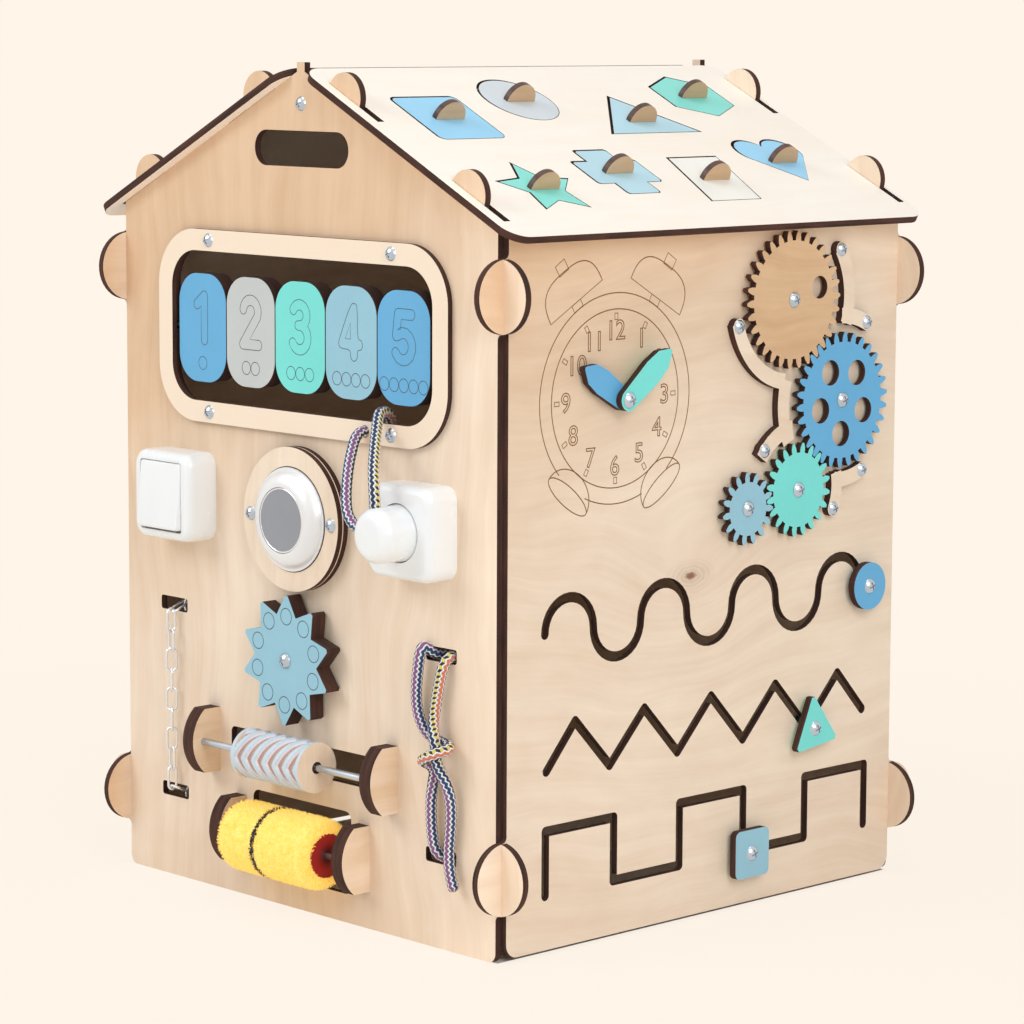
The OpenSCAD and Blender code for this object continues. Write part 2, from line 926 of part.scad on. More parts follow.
module cord_tube(route, d) {
  r = at_front(route);
  n = len(r);
  m = cord_sides;
  dirs = side_dirs(r);
  pts = [for (i = [0 : n - 1]) let (t = heading(r, i), v = dirs[i], w = cross(t, v))
    for (k = [0 : m - 1]) r[i] + d / 2 * (cos(k * 360 / m) * v + sin(k * 360 / m) * w)];
  faces = concat(
    [[for (k = [0 : m - 1]) k]],
    [for (i = [0 : n - 2]) for (k = [0 : m - 1])
      [i * m + k, (i + 1) * m + k, (i + 1) * m + (k + 1) % m]],
    [for (i = [0 : n - 2]) for (k = [0 : m - 1])
      [i * m + k, (i + 1) * m + (k + 1) % m, i * m + (k + 1) % m]],
    [[for (k = [0 : m - 1]) (n - 1) * m + m - 1 - k]]);
  polyhedron(pts, faces, convexity = 6);
}

// Least gap between two routes, and of a route with itself past three diameters along it
function seg(a, b, n) = [for (i = [0 : n - 1]) a + (b - a) * i / n];
function fine(r) = [for (i = [0 : len(r) - 2]) each seg(r[i], r[i + 1], 4)];
lace_gap = min([for (p = fine(lace_left)) for (q = fine(lace_right)) norm(p - q)]) - cord_d;
function self_gap(f, k) = let (n = len(f) - 1)
  min([for (i = [0 : n - k]) for (j = [i + k : n]) norm(f[i] - f[j])]);
lace_self = self_gap(fine(lace_left), 22) - cord_d;
plug_self = self_gap(fine(plug_route), 22) - cord_d;
echo(lace_gap = lace_gap, lace_self = lace_self, plug_self = plug_self);

module plug_cord() {
  color("MidnightBlue")
    cord_tube(plug_route, cord_d);
}

module lacing_cord() {
  color("MidnightBlue") {
    cord_tube(lace_left, cord_d);
    cord_tube(lace_right, cord_d);
  }
}

// Star, chain, spool and fluffy roller
module star_spinner() {
  color("LightBlue")
    translate([star_c[0], fy - star_gap, star_c[1]])
      rotate([90, 0, 0])
        linear_extrude(star_t)
          difference() {
            intersection() {
              polygon([for (i = [0 : 19]) (i % 2 == 0 ? star_d / 2 + 2 : star_d * 0.36)
                * [cos(88 + 18 * i), sin(88 + 18 * i)]]);
              circle(star_d / 2);
            }
            circle(bolt_d / 2 + fit);
          }
}

// One chain link lies flat, its long side along Z
module link() {
  r = (link_w - chain_wire) / 2;
  s = link_in + chain_wire - 2 * r;
  for (i = [0, 1])
    rotate([0, 180 * i, 0])
      translate([0, 0, s / 2])
        rotate([90, 0, 0])
          rotate_extrude(angle = 180)
            translate([r, 0])
              circle(d = chain_wire, $fn = 16);
  for (i = [-1, 1])
    translate([i * r, 0, 0])
      cylinder(d = chain_wire, h = s, center = true, $fn = 16);
}

// The links twist a little along the chain and stand edge-on at its two ends
chain_tilt = 66;
ring_r = 7.6;
end_z = link_pitch * 4 + link_in / 2 - chain_wire / 2 - 0.3;

module chain() {
  color("Silver")
    translate([chain_x, fy - chain_out, chain_mid]) {
      for (k = [0 : 8])
        translate([0, 0, link_pitch * (4 - k)])
          rotate(90 + 90 * k - 11.25 * (4 - abs(k - 4)))
            link();
      for (i = [0, 1])
        mirror([0, 0, i])
          chain_end(2 * i - 1);
    }
}

// The last link turns into its slot and holds a stop ring behind the board
module chain_end(up) {
  translate([0, 0, end_z])
    rotate([-chain_tilt, 0, 0])
      translate([0, 0, (link_in + chain_wire) / 2])
        link();
  translate([0, (link_in - 0.5) * sin(chain_tilt), end_z + (link_in - 0.5) * cos(chain_tilt)])
    translate([ring_r * cos(20), 0, up * ring_r * sin(20)])
      stop_ring();
}

module stop_ring() {
  rotate([90, 0, 0])
    rotate_extrude()
      translate([ring_r, 0])
        circle(d = chain_wire, $fn = 16);
}

module bracket_shape() {
  intersection() {
    translate([axle_out + bracket_lip - bracket_curve, 0])
      circle(bracket_curve);
    translate([0, -bracket_r])
      square([2 * bracket_r, 2 * bracket_r]);
  }
}

module axle_brackets() {
  color("BurlyWood")
    for (s = [[spool_in, spool_z], [fluff_in, fluff_z]])
      for (i = [0, 1])
        translate([bracket_c, fy, s[1]])
          mirror([i, 0, 0])
            translate([s[0], 0, 0])
              rotate([90, 0, -90])
                mirror([0, 0, 1])
                  difference() {
                    linear_extrude(bracket_t)
                      bracket_shape();
                    translate([axle_out, 0, -1])
                      cylinder(d = axle_d, h = bracket_t - rod_short + 1);
                  }
}

module axle_rods() {
  color("Silver")
    for (s = [[spool_in, spool_z], [fluff_in, fluff_z]])
      translate([bracket_c, fy - axle_out, s[1]])
        rotate([0, 90, 0])
          cylinder(d = axle_d, h = 2 * (s[0] + bracket_t - rod_short), center = true);
}

module spool() {
  color("BurlyWood")
    translate([spool_c, fy - axle_out, spool_z])
      rotate([0, 90, 0])
        difference() {
          cylinder(d = spool_d - 4, h = spool_len, center = true);
          cylinder(d = axle_d + 2 * fit, h = spool_len + 2, center = true);
        }
}

module spool_bands() {
  color("LightBlue")
    translate([spool_c, fy - axle_out, spool_z])
      rotate([0, 90, 0])
        for (k = [0 : 6])
          translate([0, 0, (k - 3) * (spool_len - 5.4) / 6])
            difference() {
              cylinder(d = spool_d, h = 5.4, center = true);
              cylinder(d = spool_d - 4, h = 8, center = true);
            }
}

module roller_core() {
  color("FireBrick")
    translate([fluff_c, fy - axle_out, fluff_z])
      rotate([0, 90, 0])
        difference() {
          cylinder(d = core_d, h = fluff_len - fluff_round, center = true);
          cylinder(d = axle_d + 2 * fit, h = fluff_len + 2, center = true);
        }
}

module roller_sleeve() {
  color("Gold")
    translate([fluff_c, fy - axle_out, fluff_z])
      rotate([0, 90, 0])
        rotate_extrude() {
          translate([core_d / 2, -fluff_len / 2 + fluff_round])
            square([(fluff_d - core_d) / 2, fluff_len - 2 * fluff_round]);
          translate([core_d / 2, -fluff_len / 2])
            square([(fluff_d - core_d) / 2 - fluff_round, fluff_len]);
          for (i = [-1, 1])
            translate([fluff_d / 2 - fluff_round, i * (fluff_len / 2 - fluff_round)])
              circle(fluff_round);
        }
}

// Clock hands
module hand(l) {
  difference() {
    union() {
      circle(7.5);
      polygon([[0, -7.5], [l * 0.55, -9], [l * 0.8, -7.5], [l - 1, -1.5], [l, 0], [l - 1, 1.5],
        [l * 0.8, 7.5], [l * 0.55, 9], [0, 7.5]]);
    }
    circle(bolt_d / 2 + fit);
  }
}

hour_out = 2.4;
minute_out = hour_out + hand_t + 0.6;

module hour_hand() {
  color("SteelBlue")
    on_right(hour_out)
      translate(clock_c)
        rotate(147)
          linear_extrude(hand_t)
            hand(hour_len);
}

module minute_hand() {
  color("Aquamarine")
    on_right(minute_out)
      translate(clock_c)
        rotate(38)
          linear_extrude(hand_t)
            hand(minute_len);
}

// Gear train
module gear(n, ph, c) {
  on_right(gear_gap)
    translate(c)
      linear_extrude(gear_t)
        difference() {
          polygon(gear_pts(n, ph));
          circle(bolt_d / 2 + fit);
          children();
        }
}

module gear_wood() {
  color("BurlyWood")
    gear(gear_n[0], wood_phase, wood_c)
      rotate(16)
        translate([27.3, 0])
          circle(8);
}

module gear_blue() {
  color("SteelBlue")
    gear(gear_n[1], blue_phase, blue_c)
      for (i = [0 : 4])
        rotate(51 + 72 * i)
          translate([23.8, 0])
            circle(9);
}

module gear_green() {
  color("Aquamarine")
    gear(gear_n[2], green_phase, green_c);
}

module gear_small() {
  color("LightBlue")
    gear(gear_n[3], small_phase, small_c);
}

module gear_guards() {
  color("Wheat")
    on_right()
      linear_extrude(5.5)
        difference() {
          union() {
            translate(wood_c) {
              ring_sector(51.5, 62.5, 194, 263);
              ring_sector(54, 65.5, -19, 34);
            }
            translate(blue_c) {
              ring_sector(54.5, 66, 163, 206);
              ring_sector(54, 65, 61, 90);
              ring_sector(51.2, 62, -68, -96);
            }
            translate(green_c) {
              ring_sector(38.5, 50, 97, 146);
              ring_sector(36.5, 47.5, -26, 12);
            }
            for (c = guard_screws)
              translate(c)
                circle(5.6);
          }
          for (c = guard_screws)
            translate(c)
              circle(1.75);
        }
}

// Screws, bolts and spacers
module panel_screws() {
  color("Silver") {
    for (i = [-1, 1]) {
      for (z = [-1, 1])
        translate([i * frame_screw_x, fy - frame_t, window_z + z * (frame_h - frame_bar) / 2])
          rotate([90, 0, 0])
            screw(10, 3.5, frame_t + ply + 2);
      translate([light_c[0] + i * 42.5, fy - 2 * ring_t, light_c[1]])
        rotate([90, 0, 0])
          screw(10, 3.5, 2 * ring_t + ply + 2);
      translate([0, mid_y + i * house_d / 2, bar_z])
        rotate([90, 0, i > 0 ? 180 : 0])
          screw(10, 3.5, ply + 16);
    }
    on_right(5.5)
      for (c = guard_screws)
        translate(c)
          screw(10, 3.5, 5.5 + ply + 2);
  }
}

module pivot_bolts() {
  color("Silver") {
    translate([star_c[0], fy, star_c[1]])
      rotate([90, 0, 0])
        bolt(star_gap + star_t + air);
    on_right() {
      translate(clock_c)
        bolt(minute_out + hand_t + air);
      for (c = [wood_c, blue_c, green_c, small_c])
        translate(c)
          bolt(gear_gap + gear_t + air);
    }
  }
}

module spacer(h) {
  difference() {
    cylinder(d = 12, h = h);
    translate([0, 0, -1])
      cylinder(d = bolt_d, h = h + 2);
  }
}

module pivot_spacers() {
  color("Silver") {
    translate([star_c[0], fy, star_c[1]])
      rotate([90, 0, 0])
        spacer(star_gap - air);
    on_right() {
      translate(clock_c)
        spacer(hour_out - air);
      for (c = [wood_c, blue_c, green_c, small_c])
        translate(c)
          spacer(gear_gap - air);
    }
  }
}

// Slider knobs with their through bolts and back washers
module slider_bolt(c) {
  on_right()
    translate(c) {
      translate([0, 0, knob_gap + knob_t])
        pan_head(11, 3.2);
      translate([0, 0, -ply - 4])
        cylinder(d = bolt_d, h = ply + 4 + knob_gap + knob_t + 0.5);
      translate([0, 0, 0.4])
        cylinder(d = 14, h = knob_gap - 0.4);
      translate([0, 0, -ply - 2.4])
        cylinder(d = 16, h = 2);
      translate([0, 0, -ply - 6.4])
        cylinder(d = 9.6, h = 4.1, $fn = 6);
    }
}

module slider_round() {
  color("SteelBlue")
    on_right(knob_gap)
      translate(round_pos)
        linear_extrude(knob_t)
          difference() {
            circle(d = knob_w);
            circle(d = bolt_d);
          }
}

module slider_triangle() {
  color("Aquamarine")
    on_right(knob_gap)
      translate(tri_pos)
        linear_extrude(knob_t)
          difference() {
            rotate(7)
              intersection() {
                polygon([for (i = [0 : 2]) knob_w * 0.75 * [cos(90 + 120 * i), sin(90 + 120 * i)]]);
                circle(knob_w * 0.67);
              }
            circle(d = bolt_d);
          }
}

module slider_square() {
  color("LightBlue")
    on_right(knob_gap)
      translate(square_pos)
        linear_extrude(knob_t)
          difference() {
            rrect(knob_w, knob_w, 4.5);
            circle(d = bolt_d);
          }
}

module slider_bolt_round() {
  color("Silver")
    slider_bolt(round_pos);
}

module slider_bolt_triangle() {
  color("Silver")
    slider_bolt(tri_pos);
}

module slider_bolt_square() {
  color("Silver")
    slider_bolt(square_pos);
}

front_panel();
back_panel();
right_panel();
left_panel();
right_roof();
left_roof();
puzzle_base();
ridge_bar();
window_frame();
number_rod();
rod_keepers();
number_tile_1();
number_tile_2();
number_tile_3();
number_tile_4();
number_tile_5();
switch_base();
switch_rocker();
light_rings();
light_board();
light_bezel();
light_button();
socket_base();
plug_body();
plug_pins();
plug_cord();
star_spinner();
chain();
axle_brackets();
axle_rods();
spool();
spool_bands();
roller_core();
roller_sleeve();
lacing_cord();
hour_hand();
minute_hand();
gear_wood();
gear_blue();
gear_green();
gear_small();
gear_guards();
panel_screws();
pivot_bolts();
pivot_spacers();
slider_round();
slider_triangle();
slider_square();
slider_bolt_round();
slider_bolt_triangle();
slider_bolt_square();
puzzle_square();
puzzle_circle();
puzzle_triangle();
puzzle_hexagon();
puzzle_star();
puzzle_cross();
puzzle_lozenge();
puzzle_heart();
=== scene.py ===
"""Looks of the activity house: plywood, paint, plastic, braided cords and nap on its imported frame."""

import math
import random
from functools import partialmethod

import bmesh
import bpy
from bpy.props import FloatProperty, FloatVectorProperty, IntProperty, PointerProperty
from bpy.types import Operator, Panel, PropertyGroup
from mathutils import Matrix, Vector, noise
from mathutils.geometry import interpolate_bezier


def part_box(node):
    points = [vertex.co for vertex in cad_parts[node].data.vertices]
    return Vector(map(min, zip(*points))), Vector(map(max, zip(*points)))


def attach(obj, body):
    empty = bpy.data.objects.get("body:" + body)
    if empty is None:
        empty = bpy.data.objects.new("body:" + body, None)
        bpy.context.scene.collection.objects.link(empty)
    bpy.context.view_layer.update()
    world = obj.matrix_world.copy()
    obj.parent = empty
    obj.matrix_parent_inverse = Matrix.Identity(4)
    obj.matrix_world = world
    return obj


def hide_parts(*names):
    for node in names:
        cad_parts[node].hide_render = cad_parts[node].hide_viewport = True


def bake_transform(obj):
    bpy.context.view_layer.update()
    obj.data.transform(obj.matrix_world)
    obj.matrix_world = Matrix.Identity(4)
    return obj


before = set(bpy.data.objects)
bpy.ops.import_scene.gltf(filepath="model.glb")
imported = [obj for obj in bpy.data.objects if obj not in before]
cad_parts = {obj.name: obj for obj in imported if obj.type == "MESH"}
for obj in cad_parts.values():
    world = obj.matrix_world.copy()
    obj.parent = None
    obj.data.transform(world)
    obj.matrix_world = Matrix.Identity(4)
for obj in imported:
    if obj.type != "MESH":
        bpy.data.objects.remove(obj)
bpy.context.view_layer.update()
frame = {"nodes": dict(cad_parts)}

bl_info = {
    "name": "Activity House",
    "version": (1, 0, 0),
    "blender": (4, 5, 0),
    "location": "3D View > Sidebar > Activity House",
    "description": "Dresses the frame of a plywood activity house for small children",
    "category": "Object",
}

# Places that the frame gives
MM = 0.001
FRONT_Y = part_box("front_panel")[0].y
RIGHT_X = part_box("right_panel")[1].x
MID_Y = (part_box("right_panel")[0].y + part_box("right_panel")[1].y) / 2
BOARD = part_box("right_panel")[1].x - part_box("right_panel")[0].x
STUB_ABOVE_APEX = 4.5 * MM
APEX_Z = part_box("front_panel")[1].z - STUB_ABOVE_APEX
ROOF_PITCH = math.radians(26.5)
ROOF_UP = Vector((math.sin(ROOF_PITCH), 0, math.cos(ROOF_PITCH)))
ROOF_DOWN = Vector((math.cos(ROOF_PITCH), 0, -math.sin(ROOF_PITCH)))
SIDE, DEPTH, UP = Vector((1, 0, 0)), Vector((0, 1, 0)), Vector((0, 0, 1))

# The photograph's camera, found from the corners of the walls, and the direction from the house to it
CAMERA_AT = Vector((1856.19, -1754.73, 615.09)) * MM
CAMERA_LENS, CAMERA_SENSOR, CAMERA_SHIFT = 125.31, 36.0, (0.01664, -0.04124)
AZIMUTH, ELEVATION, ROLL = math.radians(46.607), math.radians(7.153), math.radians(0.212)
VIEW = Vector((math.sin(AZIMUTH) * math.cos(ELEVATION), -math.cos(AZIMUTH) * math.cos(ELEVATION),
               math.sin(ELEVATION)))

# Lamps: place in metres, width and power, all aimed at the middle of the house, and the light from all round
DAYLIGHT = (0.909, 0.958, 1.0)
LAMP_AIM = Vector((0, 0, 0.28))
LAMPS = {"key": ((-1.1, -2.1, 1.9), 1.5, 29.7), "fill": ((2.3, -0.9, 1.5), 1.5, 29.2),
         "top": ((0.2, -0.2, 2.6), 1.6, 13.2)}
SKY_LIGHT = 0.46
FLOOR_HALF = 20.0

# A drawing on a wall has x to the right, y up and z out of the wall
ON_FRONT = Matrix(((1, 0, 0, 0), (0, 0, -1, FRONT_Y), (0, 1, 0, 0), (0, 0, 0, 1)))
ON_RIGHT = Matrix(((0, 0, 1, RIGHT_X), (1, 0, 0, MID_Y), (0, 1, 0, 0), (0, 0, 0, 1)))

# Cord routes: millimetres to the right, out of the gable and up
PLUG_ROUTE = [
    (122.5, 41, 290), (122.5, 41, 296), (122.5, 41.5, 304), (120.5, 40.5, 313), (115, 36, 323),
    (107, 28, 334), (98, 18.5, 345), (92, 12, 352), (88.5, 7.5, 355.8), (86.5, 3, 356.8),
    (85, -2, 356.3), (83.5, -7, 353), (80, -10.6, 348), (75, -11.6, 344), (71, -9, 342.5),
    (70, -4, 342.5), (70, 2, 342.5), (70, 8, 342), (71.5, 14, 338), (75, 20, 331), (80, 27, 322),
    (85, 33, 312), (90, 38, 302), (95, 41, 293), (100.5, 41, 286.5), (106.5, 41, 284.5), (112, 41, 284.5)]
LEFT_LACE_ROUTE = [
    (136, -16, 198), (134.5, -10, 198.5), (132.8, -4, 199.3), (131.5, 0.5, 201.4), (130.6, 3.6, 203.6),
    (130, 6.2, 203.4), (129.2, 7.4, 199.5), (128, 7.6, 193), (126.2, 7.3, 183), (125, 6.9, 173),
    (125, 6.3, 164), (127, 6, 156.5), (131, 5.5, 149.5), (137, 4.6, 144.5),
    (144, 3.9, 142), (151, 4, 141.2), (156.8, 7.2, 140.5), (159.3, 12, 139.5), (157.2, 17.6, 138),
    (150.8, 20.6, 135), (144, 18.4, 131.5), (140.5, 13.5, 129), (140, 8.5, 126.5), (141, 5.5, 121.5),
    (140, 5.6, 113), (139.2, 6.3, 102), (139.2, 6.3, 90), (140, 6, 79), (142, 5.5, 70),
    (144.5, 2.5, 65), (146, -3, 63), (146.5, -9, 62.5), (146.5, -15, 62.5)]
RIGHT_LACE_ROUTE = [
    (150.5, -15, 199.5), (150.5, -9, 199.5), (150.5, -3, 199.3), (150.3, 2.5, 197.5), (149.5, 5.8, 192),
    (147.5, 6.5, 183), (144.8, 6.5, 172), (143.6, 7.5, 161), (144.6, 9.5, 152.5), (148, 11.7, 145),
    (150, 12.1, 138), (150.2, 12, 131), (151.6, 10.5, 124.5), (155, 8.4, 117), (157.8, 7, 108),
    (158.4, 6.2, 97), (157.4, 5.8, 85), (156, 5.6, 73), (156.2, 5.8, 62), (159, 6.4, 52), (163, 7, 44)]


def arc(x, y, radius_x, radius_y, start, end, steps=10):
    """Points on an elliptical arc, angles in degrees."""
    angles = [math.radians(start + (end - start) * k / steps) for k in range(steps + 1)]
    return [Vector((x + radius_x * math.cos(a), y + radius_y * math.sin(a))) for a in angles]


def ring(x, y, radius, steps):
    """Points on a circle."""
    return arc(x, y, radius, radius, 0, 360, steps)[:-1]


def wall_points(*pairs):
    """Flat points from pairs of numbers."""
    return [Vector(p) for p in pairs]


# Tile numbers, millimetres from the middle of the number: centre lines of 1, 2 and 5, outlines of 3 and 4
TILE_NUMBERS = {
    1: wall_points((-6, 9.5), (2, 15.5), (2, -15.5)),
    2: arc(0, 7.5, 8, 8, 170, -25) + wall_points((-8.5, -15.5), (8.5, -15.5)),
    5: wall_points((7.5, 15.5), (-5.5, 15.5), (-7.5, 1)) + arc(-0.5, -6, 8.8, 9.2, 128, -150),
}
THREE_OUTLINE = (
    arc(-0.5, 8.2, 11.1, 10.9, 150, -42) + arc(-0.5, -7, 12.1, 12.1, 43, -150)
    + arc(-7.86, -11.25, 3.6, 3.6, 210, 30) + arc(-0.5, -7, 4.9, 4.9, -150, 80)
    + arc(-2.2, 1.2, 3.2, 3.2, -90, -270) + arc(-0.5, 8.2, 3.9, 3.7, -80, 150)
    + arc(-7, 11.85, 3.6, 3.6, 330, 150))
FOUR_OUTSIDE = wall_points(
    (-0.5, 19), (4, 20), (6.5, 18), (6.5, -4.5), (10.5, -4.5), (12, -8), (10.5, -11.5), (6.5, -11.5),
    (6.5, -17.5), (3, -19.8), (-0.5, -17.5), (-0.5, -11.5), (-11, -11.5), (-13, -8.5), (-12, -5))
FOUR_INSIDE = wall_points((-0.5, 6.5), (-0.5, -4.5), (-6, -4.5))

# Clock drawing on the gear wall, millimetres from the middle of the wall and above the table
CLOCK = Vector((-93.5, 367.5))
DIAL_RADIUS, CASE_RADIUS, TICK_RADIUS = 59.7, 70.5, 54.8
NUMERAL_PLACES = {
    "12": (-94, 412.5), "1": (-69.5, 406), "2": (-52, 391), "3": (-47, 367), "4": (-54, 345),
    "5": (-71, 329), "6": (-94, 322), "7": (-117, 329), "8": (-133, 345), "9": (-140, 367),
    "10": (-130, 391), "11": (-114, 406)}


def srgb(red, green, blue):
    """A colour from its screen values, 0 to 255."""
    return (red / 255, green / 255, blue / 255)


def length_property(name, description, default):
    """A length that the user may change."""
    return FloatProperty(name=name, description=description, default=default, unit="LENGTH",
                         subtype="DISTANCE")


def count_property(name, description, default):
    """A number of pieces that the user may change."""
    return IntProperty(name=name, description=description, default=default, min=8)


def colour_property(name, description, *levels):
    """A colour that the user may change, from its screen values."""
    return FloatVectorProperty(name=name, description=description, default=srgb(*levels),
                               subtype="COLOR_GAMMA", size=3, min=0.0, max=1.0)


class HouseSizes(PropertyGroup):
    """Sizes of the pieces that are added to the frame"""

    cord_thickness: length_property("Cord thickness", "Diameter of the laces and the plug cord", 7.6 * MM)
    braid_step: length_property("Braid step", "Length of one stitch of the braid along a cord", 1.9 * MM)
    line_width: length_property("Engraved line", "Width of an engraved line", 0.8 * MM)
    number_stroke: length_property("Number stroke", "Width of the tile numbers' outlined stroke", 7.2 * MM)
    numeral_height: length_property("Clock numeral", "Height of the numerals on the clock", 13.5 * MM)
    dot_width: length_property("Tile dot", "Diameter of the counting circles on the tiles", 9.2 * MM)
    star_ring: length_property("Star ring", "Diameter of the circles on the star", 11.5 * MM)
    nap_length: length_property("Nap length", "Length of the tufts on the fluffy roller", 3.0 * MM)
    nap_rows: count_property("Nap rows", "Rows of tufts along the fluffy roller", 66)
    nap_count: count_property("Tufts in a row", "Tufts round the fluffy roller", 110)
    box_edge: length_property("Box edge", "Rounding of the switch and socket boxes", 7 * MM)


class HouseColours(PropertyGroup):
    """Colours of the finishes"""

    birch: colour_property("Birch", "Light grain of the wall boards", 247, 226, 203)
    birch_dark: colour_property("Birch, dark grain", "Dark grain of the wall boards", 231, 205, 178)
    # Roof birch is paler than the walls' birch: partly painted light, where the roof takes the light from
    # above
    roof: colour_property("Roof birch", "Light grain of the roof boards", 255, 244, 231)
    roof_dark: colour_property("Roof birch, dark grain", "Dark grain of the roof boards", 254, 238, 220)
    frame: colour_property("Frame", "Light grain of the window frame", 248, 226, 200)
    gear_wood: colour_property("Gear wood", "Light grain of the wooden gear", 228, 190, 149)
    gear_wood_dark: colour_property("Gear wood, dark grain", "Dark grain of the wooden gear", 204, 163, 122)
    batten: colour_property("Batten", "Grips, brackets and battens", 228, 192, 152)
    batten_dark: colour_property("Batten, dark grain", "Dark grain of the battens", 202, 162, 120)
    knot: colour_property("Knot", "Heart of the knot in the gear wall", 128, 72, 44)
    char: colour_property("Char", "Edges cut by the laser", 84, 51, 39)
    char_dark: colour_property("Char, dark", "Most burnt part of a cut edge", 48, 29, 23)
    engraved: colour_property("Engraved line", "Lines burnt into the wood", 140, 96, 56)
    scored: colour_property("Scored line", "Lines cut into paint", 84, 96, 104)
    blue: colour_property("Blue", "Blue paint", 101, 175, 219)
    pale_blue: colour_property("Pale blue", "Pale blue paint", 151, 198, 215)
    mint: colour_property("Mint", "Mint paint", 122, 225, 216)
    grey: colour_property("Grey", "Grey paint", 200, 203, 200)
    white: colour_property("White", "White paint", 250, 244, 233)
    # Roof puzzle paints, paler than the same paints on the walls: painted light from above
    lit_puzzle_blue: colour_property("Puzzle blue", "Blue of the roof puzzle", 157, 214, 243)
    lit_puzzle_pale_blue: colour_property("Puzzle pale blue", "Pale blue of the roof puzzle", 187, 222, 232)
    lit_puzzle_mint: colour_property("Puzzle mint", "Mint of the roof puzzle", 138, 228, 214)
    lit_puzzle_grey: colour_property("Puzzle grey", "Grey of the roof puzzle", 216, 221, 224)
    white_plastic: colour_property("White plastic", "Switch, socket and plug", 243, 243, 242)
    button: colour_property("Button", "Push button of the light", 147, 150, 157)
    silver: colour_property("Silver", "Satin silver of the light", 238, 240, 243)
    steel: colour_property("Steel", "Zinc and steel hardware", 196, 208, 222)
    nap: colour_property("Nap", "Yellow nap, tips", 255, 232, 140)
    # The roots' deeper yellow is painted shade down in the pile
    shaded_nap_root: colour_property("Nap, root", "Yellow nap, roots", 255, 218, 108)
    nap_stripe: colour_property("Nap stripe", "Dark ring in the nap", 38, 33, 28)
    core: colour_property("Roller core", "Red end of the fluffy roller", 168, 28, 30)
    backdrop: colour_property("Backdrop", "Floor and background", 255, 245, 233)


def linear(colour):
    """Shader colour of a screen colour."""
    values = [c / 12.92 if c <= 0.04045 else ((c + 0.055) / 1.055) ** 2.4 for c in colour]
    return (*values, 1.0)


def on_front(x, out, z):
    """A point by millimetres to the right, out of the front gable and up."""
    return Vector((x * MM, FRONT_Y - out * MM, z * MM))


def front_drawing(x, y, z):
    """Matrix that lays a drawing on a face of the front at a depth y."""
    return Matrix.Translation((x, y - FRONT_Y, z)) @ ON_FRONT


def middle_of(node):
    """Middle of a CAD node's box."""
    low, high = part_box(node)
    return (low + high) / 2


def settings(context):
    """The sizes and the colours that the user may change."""
    return context.scene.house_sizes, context.scene.house_colours


